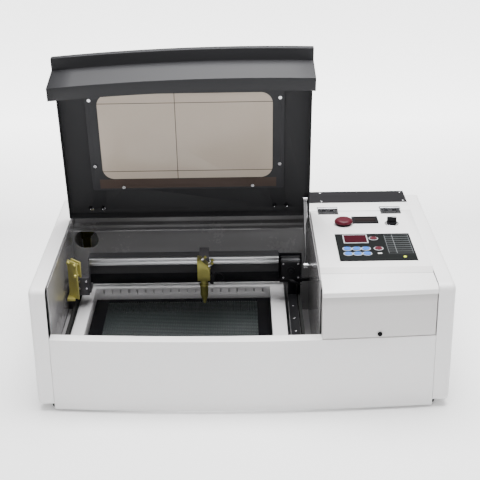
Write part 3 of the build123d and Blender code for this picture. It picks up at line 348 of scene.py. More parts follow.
PALE_RING = Plastic("pale_ring", (0.42, 0.44, 0.46), 0.35)
LAMP = Plastic("lamp_green", (0.55, 0.66, 0.04), 0.2, 0.00001, 0.5)
METER_LENS = Plastic("meter_lens", (0.006, 0.003, 0.003), 0.3, 0.000002, 0.0, 0.08)


class Slot(Enum):
    """Names of the record's material slots."""

    WHITE = "white_enamel"
    CHARCOAL = "charcoal_enamel"
    GREY_STEEL = "grey_steel"
    BLACK_METAL = "black_metal"
    BRIGHT_STEEL = "bright_steel"
    GREY_METAL = "grey_metal"
    BRASS = "brass"
    PANE = "amber_pane"
    BLACK_PLASTIC = "black_plastic"
    RED_LENS = "red_lens"


@dataclass
class Stage:
    """The floor, lights and camera around the machine."""

    floor_half: float = 30.0
    glow_from: float = 1.2
    glow_soft: float = 1.0
    near_glow: Point = (0.25, 0.25, 0.25)
    far_glow: Point = (3.2, 3.2, 3.2)
    sky_strength: float = 0.45
    lamps: tuple[tuple[str, Point, Point, float, float], ...] = (
        ("overhead", (0.1, 0.1, 2.4), (0.0, 0.0, 0.0), 2.2, 220.0),
        ("front", (-1.0, -2.8, 1.5), (0.0, 0.0, 0.2), 1.6, 3.0),
    )
    camera_place: Point = (0.002754, -2.10095, 1.14257)
    camera_turn: Point = (1.164769, 0.018786, 0.008251)
    camera_lens: float = 82.81
    camera_shift: tuple[float, float] = (0.03, 0.0156)

    def floor(self) -> None:
        """Lay the pale floor."""
        deselect()
        bpy.ops.mesh.primitive_plane_add(size=2 * self.floor_half)
        floor = bpy.context.object
        floor.name = "floor"
        bench = Bench("pale_floor")
        near = bench.axis("Y").within(self.glow_from, self.glow_soft)
        bench.set(Base_Color=(0.9, 0.9, 0.9, 1.0), Roughness=0.9, Emission_Strength=1.0,
                  Emission_Color=bench.mix(near, self.far_glow, self.near_glow))
        floor.data.materials.append(bench.material)

    def lights(self) -> None:
        """Hang the soft lights and set the sky."""
        world = bpy.data.worlds.new("studio")
        bpy.context.scene.world = world
        world.use_nodes = True
        sky = world.node_tree.nodes["Background"]
        sky.inputs["Color"].default_value = (1.0, 1.0, 1.0, 1.0)
        sky.inputs["Strength"].default_value = self.sky_strength
        for lamp in self.lamps:
            self.lamp(*lamp)

    def lamp(self, name: str, place: Point, aim: Point, size: float, power: float) -> None:
        """Add one square area light.

        Args:
            name: Its name.
            place: Where it hangs.
            aim: The point it faces.
            size: The length of its side.
            power: Its power in watts.
        """
        light = bpy.data.lights.new(name, "AREA")
        light.size = size
        light.energy = power
        lamp = bpy.data.objects.new(name, light)
        bpy.context.scene.collection.objects.link(lamp)
        lamp.location = place
        lamp.rotation_euler = (Vector(aim) - Vector(place)).to_track_quat("-Z", "Y").to_euler()

    def camera(self) -> None:
        """Set up the camera."""
        lens = bpy.data.cameras.new("camera")
        lens.lens = self.camera_lens
        lens.shift_x, lens.shift_y = self.camera_shift
        camera = bpy.data.objects.new("camera", lens)
        bpy.context.scene.collection.objects.link(camera)
        camera.location = self.camera_place
        camera.rotation_euler = Euler(self.camera_turn, "XYZ")
        bpy.context.scene.camera = camera

    def build(self) -> None:
        """Build all of it."""
        self.floor()
        self.lights()
        self.camera()


# ------------------------------------------------------------------ bench tools
def deselect() -> None:
    """Deselect every object."""
    bpy.ops.object.select_all(action="DESELECT")


def dress(node: Piece, material: Paint) -> None:
    """Give an object one material."""
    node.data.materials.clear()
    node.data.materials.append(material)


def mid(*values: float) -> float:
    """Return the mean of some numbers."""
    return sum(values) / len(values)


def depth(distance: float) -> float:
    """Return the y place a number of millimetres behind the side panels' front edge."""
    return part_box("left_side_panel")[0].y + distance * MM


def on_top(node: str, place: tuple[float, float], above: float = 0.0) -> Point:
    """Return the point over an (x, depth) place on a node's top, above it by some millimetres."""
    return (place[0] * MM, depth(place[1]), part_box(node)[1].z + above * MM)


def active(name: str) -> Piece:
    """Name the object that was just made and return it."""
    made = bpy.context.object
    made.name = name
    made.data.name = name
    return made


def alone(piece: Piece) -> None:
    """Select one object alone and make it active."""
    deselect()
    piece.select_set(True)
    bpy.context.view_layer.objects.active = piece


@contextmanager
def editing(kind: str | None = None) -> Iterator[None]:
    """Edit the active mesh with all of it selected, then go back to object mode.

    Args:
        kind: What is selected, VERT or FACE, or None for what was used last.
    """
    bpy.ops.object.mode_set(mode="EDIT")
    if kind:
        bpy.ops.mesh.select_mode(type=kind)
    bpy.ops.mesh.select_all(action="SELECT")
    yield
    bpy.ops.object.mode_set(mode="OBJECT")


def settle(piece: Piece, angle: float = 35.0) -> Piece:
    """Put a piece's place in its mesh and shade it smooth up to an angle.

    Args:
        piece: The object, in place.
        angle: The greatest angle between faces that is shaded smooth, in degrees.

    Returns:
        The same object, at the origin.
    """
    alone(piece)
    bpy.ops.object.transform_apply(location=True, rotation=True, scale=True)
    with editing():
        bpy.ops.mesh.normals_make_consistent(inside=False)
    bpy.ops.object.shade_smooth_by_angle(angle=math.radians(angle))
    return piece


def stood(piece: Piece, place: Point, direction: Point) -> Piece:
    """Turn a piece's Z axis along a direction, move it to its place and settle it there."""
    piece.rotation_euler = Vector((0, 0, 1)).rotation_difference(Vector(direction)).to_euler()
    piece.location = place
    return settle(piece)


def rounded(piece: Piece, width: float, segments: int = 2, angle: float = 35.0) -> None:
    """Round a piece's sharp edges with an applied bevel.

    Args:
        piece: The object.
        width: The bevel's width in metres.
        segments: Its segments.
        angle: The least angle of an edge that is rounded, in degrees.
    """
    alone(piece)
    bevel = piece.modifiers.new("edges", "BEVEL")
    bevel.width = width
    bevel.segments = segments
    bevel.limit_method = "ANGLE"
    bevel.angle_limit = math.radians(angle)
    bpy.ops.object.modifier_apply(modifier=bevel.name)


def slab(name: str, low: Point, high: Point, edge: float, segments: int = 2) -> Piece:
    """Model a block between two corners with rounded edges.

    Args:
        name: The piece's name.
        low: Its lowest corner, in metres.
        high: Its highest corner.
        edge: The width of its rounded edges.
        segments: The segments of each edge.

    Returns:
        The block.
    """
    deselect()
    bpy.ops.mesh.primitive_cube_add(size=1.0, location=[mid(a, b) for a, b in zip(low, high)])
    piece = active(name)
    piece.scale = [b - a for a, b in zip(low, high)]
    bpy.ops.object.transform_apply(location=True, rotation=True, scale=True)
    rounded(piece, edge, segments)
    return settle(piece)


def turned(name: str, place: Point, direction: Point, profile: Profile,
           sides: int = 32) -> Piece:
    """Model a round piece by extruding a disc along a profile.

    Args:
        name: The piece's name.
        place: The centre of its base, in metres.
        direction: The way it grows.
        profile: Its (radius, height) points in millimetres, from the base.
        sides: The number of its sides.

    Returns:
        The piece.
    """
    deselect()
    radius, height = profile[0]
    bpy.ops.mesh.primitive_circle_add(vertices=sides, radius=radius * MM, fill_type="NGON",
                                      location=(0, 0, height * MM))
    piece = active(name)
    with editing("FACE"):
        for next_radius, next_height in profile[1:]:
            rise = (0, 0, (next_height - height) * MM)
            bpy.ops.mesh.extrude_region_move(TRANSFORM_OT_translate={"value": rise})
            factor = next_radius / radius
            centre = (0, 0, next_height * MM)
            bpy.ops.transform.resize(value=(factor, factor, 1), center_override=centre)
            radius, height = next_radius, next_height
    return stood(piece, place, direction)


def ring(name: str, place: Point, direction: Point, radius: float, thickness: float,
         height: float) -> Piece:
    """Model a flat ring from a torus.

    Args:
        name: The piece's name.
        place: Its centre, in metres.
        direction: Its axis.
        radius: The radius of its middle line, in millimetres.
        thickness: How wide its section is.
        height: How high its section is.

    Returns:
        The ring.
    """
    deselect()
    bpy.ops.mesh.primitive_torus_add(major_radius=radius * MM, minor_radius=thickness / 2 * MM,
                                     major_segments=RING_SIDES, minor_segments=10)
    piece = active(name)
    with editing():
        bpy.ops.transform.resize(value=(1, 1, height / thickness), center_override=(0, 0, 0))
    return stood(piece, place, direction)


def wire(name: str, points: list[Vector], radius: float, smooth: bool = True,
         sides: int = 3) -> Piece:
    """Model a round wire along some points.

    Args:
        name: The piece's name.
        points: Its points, in metres.
        radius: Its radius in metres.
        smooth: Whether it runs as a smooth curve, not straight between points.
        sides: The bevel resolution of its section.

    Returns:
        The wire's mesh.
    """
    curve = bpy.data.curves.new(name, "CURVE")
    curve.dimensions = "3D"
    curve.bevel_depth = radius
    curve.bevel_resolution = sides
    curve.use_fill_caps = True
    curve.resolution_u = 6
    spline = curve.splines.new("NURBS" if smooth else "POLY")
    spline.points.add(len(points) - 1)
    for slot, point in zip(spline.points, points):
        slot.co = (*point, 1.0)
    if smooth:
        spline.order_u = 3
        spline.use_endpoint_u = True
    shape = bpy.data.objects.new(name, curve)
    bpy.context.scene.collection.objects.link(shape)
    alone(shape)
    bpy.ops.object.convert(target="MESH")
    return settle(active(name), 50.0)


def joined(name: str, parts: list[Piece]) -> Piece:
    """Join some pieces into one."""
    deselect()
    for part in parts:
        part.select_set(True)
    bpy.context.view_layer.objects.active = parts[0]
    bpy.ops.object.join()
    return active(name)


def border(name: str, low: Vector, high: Vector, inside: tuple[Vector, Vector], edge: float) -> Piece:
    """Model a frame of four bars round an opening.

    Args:
        name: The frame's name.
        low: Its lowest corner, in metres.
        high: Its highest corner.
        inside: Two corners of its opening, of which only x and y count.
        edge: The width of its rounded edges.

    Returns:
        The frame.
    """
    near, far = inside
    corners = {
        "left": (low, (near.x, high.y, high.z)),
        "right": ((far.x, low.y, low.z), high),
        "front": ((near.x, low.y, low.z), (far.x, near.y, high.z)),
        "back": ((near.x, far.y, low.z), (far.x, high.y, high.z)),
    }
    return joined(name, [slab(f"{name}_{side}", *ends, edge) for side, ends in corners.items()])


def copied(piece: Piece, name: str, shift: Point) -> Piece:
    """Copy a piece with its own mesh and move the copy.

    Args:
        piece: The object to copy.
        name: The copy's name.
        shift: How far it moves, in metres.

    Returns:
        The copy.
    """
    twin = piece.copy()
    twin.data = piece.data.copy()
    bpy.context.scene.collection.objects.link(twin)
    twin.name = name
    twin.data.transform(Matrix.Translation(Vector(shift)))
    return twin


def screws(name: str, start: Point, direction: Point, profile: Profile, sides: int,
           shifts: list[Point]) -> Piece:
    """Model one screw head and copy it to some places as one object.

    Args:
        name: The object's name.
        start: Where the first head is modelled, in metres.
        direction: The way the heads face.
        profile: A head's (radius, height) points in millimetres.
        sides: The number of a head's sides.
        shifts: How far each copy is from the start.

    Returns:
        The heads.
    """
    first = turned(name, start, direction, profile, sides)
    heads = [copied(first, f"{name}_copy", shift) for shift in shifts]
    bpy.data.objects.remove(first)
    return joined(name, heads)


def fit(piece: Piece, body: str, material: Paint) -> None:
    """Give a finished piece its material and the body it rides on."""
    dress(piece, material)
    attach(piece, body)
    LOG.info("%s rides on %s with %d faces", piece.name, body, len(piece.data.polygons))


def softened(node: str, width: float, body: str, material: Paint) -> None:
    """Stand a copy with rounded edges in for a CAD node.

    Args:
        node: The node's name.
        width: The bevel's width, in millimetres.
        body: The body it rides on.
        material: Its finish.
    """
    source = bpy.data.objects[node]
    piece = source.copy()
    piece.data = source.data.copy()
    piece.parent = None
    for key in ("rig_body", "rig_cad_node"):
        del piece[key]
    bpy.context.scene.collection.objects.link(piece)
    piece.name = f"{node}_shaped"
    alone(piece)
    with editing("VERT"):
        bpy.ops.mesh.remove_doubles(threshold=WELD)
        bpy.ops.mesh.dissolve_limited(angle_limit=math.radians(FLAT_ANGLE))
    rounded(piece, width * MM, 2, SOFT_ANGLE)
    alone(piece)
    bpy.ops.object.shade_smooth_by_angle(angle=math.radians(SOFT_ANGLE))
    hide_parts(node)
    fit(piece, body, material)


# ------------------------------------------------------------------ sub-assemblies
@dataclass
class Casework:
    """The white case: side panels, bowed front, base, feet and rear."""

    half_opening: float = 368.0
    bow_rise: float = 16.0
    fixing_place: tuple[float, float] = (260.0, 166.0)
    rear_screw_rows: tuple[float, float] = (24.0, 258.0)
    rear_screws: int = 7
    cover_screws: int = 5
    screw_from_side: float = 8.0
    cover_screws_in: tuple[float, float] = (8.0, 10.0)

    def bow(self, x: float) -> float:
        """Return how far the bowed front stands forward at x, in millimetres."""
        radius = (self.half_opening**2 + self.bow_rise**2) / (2 * self.bow_rise)
        return math.sqrt(radius**2 - x**2) - (radius - self.bow_rise)

    def fixing_screw(self, material: Paint) -> None:
        """Model the dark button-head screw that holds the electronics cover's flap."""
        x, z = self.fixing_place
        place = (x * MM, depth(-self.bow(x)), z * MM)
        profile = [(4.6, -0.3), (4.6, 0.6), (4.2, 1.6), (3.2, 2.3), (2.0, 2.5), (1.6, 2.4), (1.4, 1.2)]
        head = turned("cover_fixing_screw", place, (0, -1, 0), profile, 28)
        fit(head, "cover", material)

    def pan_heads(self, material: Paint) -> None:
        """Model the cross-head screws of the rear panel and the tube bay's cover."""
        _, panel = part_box("rear_panel")
        profile = [(3.2, -0.2), (3.2, 0.5), (2.6, 1.2), (1.4, 1.5), (0.5, 1.5), (0.45, 0.8)]
        edge_x = panel.x - self.screw_from_side * MM
        spacing = 2 * edge_x / (self.rear_screws - 1)
        rows = [z * MM for z in self.rear_screw_rows]
        places = [(-edge_x + n * spacing, 0, z) for z in rows for n in range(self.rear_screws)]
        heads = screws("rear_panel_screws", (0, panel.y, 0), (0, 1, 0), profile, 20, places)
        fit(heads, "chassis", material)
        low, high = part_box("tube_cover")
        spacing = 2 * edge_x / (self.cover_screws - 1)
        front, back = self.cover_screws_in
        rows = (low.y + front * MM, high.y - back * MM)
        places = [(-edge_x + n * spacing, y, 0) for y in rows for n in range(self.cover_screws)]
        heads = screws("tube_cover_screws", (0, 0, high.z), (0, 0, 1), profile, 20, places)
        fit(heads, "chassis", material)

    def build(self, finishes: Paints) -> None:
        """Build the case's fine pieces and shape its sheet edges."""
        for node in ("front_panel", "rear_panel", "rear_deck"):
            softened(node, 0.5, "chassis", finishes[WHITE])
        softened("tube_cover", 0.5, "chassis", finishes[COVER_STRIP])
        self.fixing_screw(finishes[BLACK_METAL])
        self.pan_heads(finishes[STEEL])


@dataclass
class WorkBay:
    """The bed with its rails and mesh, and the grey walls round it."""

    edging: float = 30.0
    wire_pitch: float = 5.0
    cross_pitch: float = 6.5
    wire_radius: float = 0.9
    rail_screw_rows: tuple[float, ...] = (75.0, 130.0, 185.0, 240.0, 295.0)
    rail_x: float = 106.0
    rail_top: float = 132.0

    def mesh_wires(self, low: Vector, high: Vector, along_y: bool) -> Piece:
        """Lay one set of the bed's wires.

        Args:
            low: The lowest corner of the space they fill.
            high: Its highest corner.
            along_y: Whether they run front to back.

        Returns:
            The wires as one object.
        """
        pitch = (self.wire_pitch if along_y else self.cross_pitch) * MM
        start, end = (low.x, high.x) if along_y else (low.y, high.y)
        level = mid(low.z, high.z) + (self.wire_radius * MM if along_y else -self.wire_radius * MM)
        count = int((end - start) / pitch)
        first_place = start + (end - start - (count - 1) * pitch) / 2
        if along_y:
            ends = [Vector((first_place, y, level)) for y in (low.y, high.y)]
        else:
            ends = [Vector((x, first_place, level)) for x in (low.x, high.x)]
        first = wire("bed_wire", ends, self.wire_radius * MM, smooth=False, sides=1)
        step = Vector((pitch, 0, 0)) if along_y else Vector((0, pitch, 0))
        copies = [copied(first, "bed_wire_copy", step * n) for n in range(1, count)]
        return joined("bed_wires", [first, *copies])

    def mesh(self, frame_paint: Paint, wire_paint: Paint) -> None:
        """Build the bed's mesh: a dark frame with wires both ways."""
        low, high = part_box("bed_mesh")
        rim = self.edging * MM
        inside_low = Vector((low.x + rim, low.y + rim / 2, low.z))
        inside_high = Vector((high.x - rim, high.y - rim / 2, high.z))
        edging = border("bed_mesh_border", low, high, (inside_low, inside_high), 0.3 * MM)
        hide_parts("bed_mesh")
        fit(edging, "chassis", frame_paint)
        wires = [self.mesh_wires(inside_low, inside_high, along) for along in (True, False)]
        fit(joined("bed_mesh_wires", wires), "chassis", wire_paint)

    def rail_screws(self, material: Paint) -> None:
        """Set the countersunk screws along the right guide rail."""
        profile = [(2.4, -0.1), (2.4, 0.3), (1.9, 0.6), (0.9, 0.6), (0.8, 0.1)]
        places = [(self.rail_x * MM, depth(row), 0) for row in self.rail_screw_rows]
        heads = screws("right_rail_screws", (0, 0, self.rail_top * MM), (0, 0, 1), profile, 16, places)
        fit(heads, "chassis", material)

    def build(self, finishes: Paints) -> None:
        """Build the bay's pieces."""
        softened("bed_frame", 0.8, "chassis", finishes[BED_WHITE])
        softened("bay_partition", 0.5, "chassis", finishes[PARTITION])
        self.mesh(finishes[BLACK_METAL], finishes[MESH_WIRE])
        self.rail_screws(finishes[STEEL])


@dataclass
class Gantry:
    """The cross beam with its motor, brackets and second mirror."""

    screw_radius: float = 2.2
    screw_from_edge: float = 5.5
    motor_cap: float = 9.0
    motor_corner: float = 3.4
    stack_inset: float = 0.8
    ribbon_width: float = 9.0
    ribbon_length: float = 12.0
    ribbon_lean: float = 20.0
    ribbon_sag: float = 3.0
    ribbon_from_right: float = 26.0
    ribbon_gap: float = 2.5
    ribbon_above: float = 2.0
    strip_height: float = 19.5
    strip_proud: float = 1.2
    bracket_screws: tuple[tuple[float, float], ...] = ((-338, 158), (-338, 174), (-323, 174), (-323, 158))

    def motor(self, finishes: Paints) -> None:
        """Model the stepper motor: end caps, a bare stack between, screws and a bearing boss."""
        low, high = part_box("x_motor")
        cap = self.motor_cap * MM
        corner_edge = self.motor_corner * MM
        caps = [
            slab("cap_front", low, (high.x, low.y + cap, high.z), corner_edge, 3),
            slab("cap_rear", (low.x, high.y - cap, low.z), high, corner_edge, 3),
        ]
        body = joined("x_motor_caps", caps)
        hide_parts("x_motor")
        fit(body, "gantry", finishes[BLACK_PLASTIC])
        inset = self.stack_inset * MM
        stack = slab("x_motor_stack", (low.x + inset, low.y + cap, low.z + inset),
                     (high.x - inset, high.y - cap, high.z - inset), 0.004, 2)
        fit(stack, "gantry", finishes[STACK])
        reach = (high.x - low.x) / 2 - self.screw_from_edge * MM
        centre = Vector((mid(low.x, high.x), low.y, mid(low.z, high.z)))
        profile = [(self.screw_radius, -0.4), (self.screw_radius, 0.4), (1.7, 0.8), (0.9, 0.8), (0.8, 0.2)]
        places = [(i * reach, 0, k * reach) for i in (-1, 1) for k in (-1, 1)]
        heads = screws("x_motor_screws", centre, (0, -1, 0), profile, 16, places)
        fit(heads, "gantry", finishes[STEEL])
        profile = [(9.0, -0.5), (9.0, 0.5), (8.4, 0.8), (4.0, 0.8), (3.6, 0.2), (2.2, 0.2), (2.2, 0.9),
                   (1.8, 1.1)]
        boss = turned("x_motor_bearing", centre, (0, -1, 0), profile, 40)
        fit(boss, "gantry", finishes[BLACK_METAL])

    def ribbon(self, material: Paint) -> None:
        """Model the short flat lead that folds down from the motor to the rail."""
        low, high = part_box("x_motor")
        left = high.x - self.ribbon_from_right * MM
        back = low.y - self.ribbon_gap * MM
        top = low.z + self.ribbon_above * MM
        length = self.ribbon_length * MM
        flap = slab("motor_ribbon", (left, back - 0.7 * MM, top - length),
                    (left + self.ribbon_width * MM, back, top), 0.2 * MM)
        alone(flap)
        with editing():
            bpy.ops.mesh.subdivide(number_cuts=4)
        for vertex in flap.data.vertices:
            fall = (top - vertex.co.z) / length
            vertex.co.x += self.ribbon_lean * MM * fall
            vertex.co.y -= self.ribbon_sag * MM * math.sin(math.pi * fall)
        settle(flap)
        fit(flap, "gantry", material)

    def painted_shadow_strip(self, material: Paint) -> None:
        """Model a black strip along the lower half of the beam's face: a painted shadow standing in for
        the shade in the recess under the beam.
        """
        low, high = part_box("x_beam")
        near = (low.x, low.y - self.strip_proud * MM, low.z)
        far = (high.x, low.y + 0.2 * MM, low.z + self.strip_height * MM)
        strip = slab("x_beam_painted_shadow_strip", near, far, 0.4 * MM)
        fit(strip, "gantry", material)

    def end_screws(self, material: Paint) -> None:
        """Set the screws that hold the beam's left end bracket."""
        front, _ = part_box("left_end_bracket")
        profile = [(2.6, -0.3), (2.6, 1.6), (2.2, 2.2), (1.4, 2.2), (1.3, 1.0)]
        places = [(x * MM, front.y, z * MM) for x, z in self.bracket_screws]
        heads = screws("left_bracket_screws", (0, 0, 0), (0, -1, 0), profile, 16, places)
        fit(heads, "gantry", material)

    def build(self, finishes: Paints) -> None:
        """Build the gantry's pieces."""
        for node, width, slot, finish in (
            ("x_beam", 0.5, Slot.CHARCOAL, BEAM),
            ("x_guide_rail", 0.4, Slot.BRIGHT_STEEL, RAIL_SILVER),
            ("left_end_bracket", 0.5, Slot.GREY_METAL, GREY_METAL),
            ("motor_bracket", 0.5, Slot.BLACK_METAL, BLACK_METAL),
            # the second mirror's mount takes the lighter brass, painted light for the shade it sits in
            ("mirror_2_mount", 0.5, Slot.BRASS, BRASS_PAINTED_LIGHT),
        ):
            softened(node, width, "gantry", finishes[finish])
        # a black strip painted as the shadow under the beam
        self.painted_shadow_strip(finishes[BLACK_METAL])
        self.motor(finishes)
        self.ribbon(finishes[BLACK_PLASTIC])
        self.end_screws(finishes[STEEL])


@dataclass
class Head:
    """The laser head: carriage, third mirror with its sprung screws, lens tube and pointer."""

    cut_middle: Point = (-75.5, 218.0, 216.5)
    screws: tuple[tuple[float, float], ...] = ((-8, -10), (8, -10), (-8, 10))
    plate: float = 3.0
    spring_length: float = 7.2
    turn_steps: int = 12
    spring_turns: int = 5
    spring_radius: float = 2.9
    spring_wire: float = 0.45

    def springs(self, material: Paint) -> None:
        """Wind the springs under the mirror's adjusting screws."""
        x, back, z = self.cut_middle
        centre = Vector((x * MM, depth(back), z * MM))
        out = Vector((1, 0, 1)).normalized()
        across = Vector((0, 1, 0))
        along = across.cross(out)
        coils = []
        steps = self.turn_steps * self.spring_turns
        for a, b in self.screws:
            base = centre + out * self.plate * MM + across * a * MM - along * b * MM
            points = []
            for step in range(steps + 1):
                turn = 2 * math.pi * step / self.turn_steps
                rise = out * (0.4 + self.spring_length * step / steps) * MM
                side = across * math.cos(turn) + along * math.sin(turn)
                points.append(base + rise + side * self.spring_radius * MM)
            coils.append(wire("adjuster_spring", points, self.spring_wire * MM, sides=2))
        fit(joined("mirror_3_springs", coils), "head", material)

    def build(self, finishes: Paints) -> None:
        """Build the head's pieces."""
        softened("mirror_3_block", 0.6, "head", finishes[BRASS])
        softened("carriage", 0.5, "head", finishes[GREY_METAL])
        softened("lens_tube", 0.3, "head", finishes[BRASS])
        self.springs(finishes[STEEL])


@dataclass
class Lid:
    """The open work-bay lid with its window and hinge bolts."""

    open_angle: float = 79.0
    hood_top: float = 0.270
    bolt_x: tuple[float, ...] = (-321.0, -295.0, 73.0, 99.0)
    bolt_from_hinge: float = 16.5
    wall_gap: float = 0.15
    skin: float = 2.0

    def on_underside(self, x: float, from_hinge: float, hinge: Vector) -> Vector:
        """Return a point on the open lid's inner skin.

        Args:
            x: Its x place, in millimetres.
            from_hinge: How far it is from the hinge line, in millimetres.
            hinge: A point on the hinge line.

        Returns:
            The point, in metres.
        """
        drop = (hinge.z - self.hood_top) + self.skin * MM
        turn = math.radians(self.open_angle)
        along = Vector((0, -math.cos(turn), math.sin(turn)))
        return Vector((x * MM, hinge.y, hinge.z)) + along * from_hinge * MM + self.inward() * drop

    def inward(self) -> Vector:
        """Return the way the open lid's inner skin faces."""
        turn = math.radians(self.open_angle)
        return Vector((0, -math.sin(turn), -math.cos(turn)))

    def bolts(self, hinge: Vector, finishes: Paints) -> None:
        """Model the bright bolt ends that hold the hinge leaves, on dark washers."""
        nut = [(4.6, -0.2), (4.6, 3.6), (4.0, 4.0), (2.0, 4.0)]
        tip = [(2.3, 3.5), (2.3, 9.0), (1.9, 10.0), (0.6, 11.6)]
        places = [self.on_underside(x, self.bolt_from_hinge, hinge) for x in self.bolt_x]
        washers = [turned("nut", place, self.inward(), nut, 6) for place in places]
        tips = [turned("tip", place, self.inward(), tip, 16) for place in places]
        fit(joined("hinge_bolt_nuts", washers), "lid", finishes[BLACK_METAL])
        fit(joined("hinge_bolt_ends", tips), "lid", finishes[STEEL])

    def clear_wall(self, shell: Piece) -> None:
        """Draw the shell's left edge in by a hair, so that it clears the wall when the lid is shut."""
        left = min(vertex.co.x for vertex in shell.data.vertices)
        for vertex in shell.data.vertices:
            if vertex.co.x < left + self.wall_gap * MM:
                vertex.co.x = left + self.wall_gap * MM

    def build(self, hinge: Vector, finishes: Paints) -> None:
        """Build the lid's pieces."""
        softened("lid_shell", 0.5, "lid", finishes[CHARCOAL])
        self.clear_wall(bpy.data.objects["lid_shell_shaped"])
        softened("lid_window", 0.4, "lid", finishes.window)
        self.bolts(hinge, finishes)


@dataclass
class ControlTop:
    """The electronics cover with its panel, keys, stop button, meter and selector."""

    key_radius: float = 7.5
    frame_width: float = 2.2
    frame_proud: float = 0.4
    bezel_ring: tuple[float, float, float] = (13.6, 2.4, 1.6)
    mark_from_middle: tuple[float, float] = (2.0, 9.5)
    mark_half: float = 0.6
    meter_rim: float = 5.0
    blue_x: tuple[float, ...] = (211.0, 229.5, 248.0)
    blue_in: tuple[float, ...] = (154.5, 130.0)
    red_places: tuple[tuple[float, float], ...] = ((268.5, 206.0), (273.0, 154.5))
    lamp_place: tuple[float, float] = (319.5, 111.0)
    selector_place: tuple[float, float] = (316.0, 288.0)
    stop_place: tuple[float, float] = (215.5, 288.0)

    def key_rings(self, material: Paint) -> None:
        """Model the pale rings round the keys."""
        places = [(x, y) for y in self.blue_in for x in self.blue_x] + list(self.red_places)
        rings = [
            ring("key_ring", on_top("control_panel", place), (0, 0, 1), self.key_radius + 1.2, 1.5, 0.9)
            for place in places
        ]
        fit(joined("key_rings", rings), "cover", material)

    def display_frame(self, material: Paint) -> None:
        """Model the thin frame round the display."""
        low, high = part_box("display_lens")
        outer = Vector((self.frame_width, self.frame_width, 0)) * MM
        top = high + outer + Vector((0, 0, self.frame_proud * MM))
        frame = border("display_frame", low - outer, top, (low, high), 0.4 * MM)
        fit(frame, "cover", material)

    def lamp(self, material: Paint) -> None:
        """Model the small indicator lamp."""
        place = on_top("control_panel", self.lamp_place)
        profile = [(3.4, -0.2), (3.4, 0.5), (3.0, 1.2), (2.1, 1.9), (1.0, 2.3)]
        dome = turned("indicator_lamp", place, (0, 0, 1), profile, 24)
        fit(dome, "cover", material)

    def selector(self, finishes: Paints) -> None:
        """Model the selector's bezel and the mark on its grip."""
        x, y = self.selector_place
        middle = on_top("electronics_cover", self.selector_place, 0.5)
        bezel = ring("selector_bezel", middle, (0, 0, 1), *self.bezel_ring)
        fit(bezel, "cover", finishes[STEEL])
        knob_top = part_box("selector_knob")[1].z
        near, far = self.mark_from_middle
        mark = slab("selector_mark", ((x + near) * MM, depth(y - self.mark_half), knob_top - 0.3 * MM),
                    ((x + far) * MM, depth(y + self.mark_half), knob_top + 0.15 * MM), 0.1 * MM)
        fit(mark, "selector", finishes[WHITE])

    def stop(self, material: Paint) -> None:
        """Model the stop button's guard ring."""
        place = on_top("electronics_cover", self.stop_place)
        profile = [(15.5, -0.1), (15.5, 1.0), (14.8, 1.5), (11.6, 1.5), (11.4, 0.4)]
        collar = turned("stop_collar", place, (0, 0, 1), profile, 48)
        fit(collar, "cover", material)

    def meter(self, material: Paint) -> None:
        """Model the meter's dark lens, sunk in its bezel."""
        low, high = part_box("panel_meter")
        rim = self.meter_rim * MM
        lens = slab("meter_lens", (low.x + rim, low.y + rim, high.z - 1.2 * MM),
                    (high.x - rim, high.y - rim, high.z - 0.4 * MM), 0.3 * MM)
        fit(lens, "cover", material)

    def build(self, finishes: Paints) -> None:
        """Build the cover's pieces."""
        softened("electronics_cover", 0.5, "cover", finishes.hood)
        dress(bpy.data.objects["control_panel"], finishes.panel)
        self.key_rings(finishes[PALE_RING])
        self.display_frame(finishes[PALE_RING])
        self.lamp(finishes[LAMP])
        self.selector(finishes)
        self.stop(finishes[BLACK_PLASTIC])
        self.meter(finishes[METER_LENS])


@dataclass
class RearFittings:
    """What shows at the back: the fan guard in the exhaust."""

    guard_radii: tuple[float, ...] = (10.0, 20.0, 30.0, 40.0)
    guard_wire: float = 0.9
    guard_reach: float = 48.0
    guard_in: float = 6.0
    spoke_behind: float = 1.6
    collar_z: float = 0.100

    def fan_guard(self, material: Paint) -> None:
        """Model the wire guard across the exhaust collar."""
        low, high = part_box("exhaust_duct")
        panel_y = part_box("rear_panel")[1].y
        centre = Vector((mid(low.x, high.x), panel_y + self.guard_in * MM, self.collar_z))
        parts = [
            ring(f"guard_ring_{n}", centre, (0, 1, 0), radius, 2 * self.guard_wire, 2 * self.guard_wire)
            for n, radius in enumerate(self.guard_radii)
        ]
        for spoke in range(2):
            turn = math.pi / 4 + spoke * math.pi / 2
            way = Vector((math.cos(turn), 0, math.sin(turn))) * self.guard_reach * MM
            behind = Vector((0, -self.spoke_behind * MM, 0))
            ends = [centre - way + behind, centre + way + behind]
            parts.append(wire(f"guard_spoke_{spoke}", ends, self.guard_wire * MM, smooth=False, sides=2))
        fit(joined("exhaust_fan_guard", parts), "chassis", material)

    def build(self, finishes: Paints) -> None:
        """Build the rear's pieces."""
        self.fan_guard(finishes[STEEL])


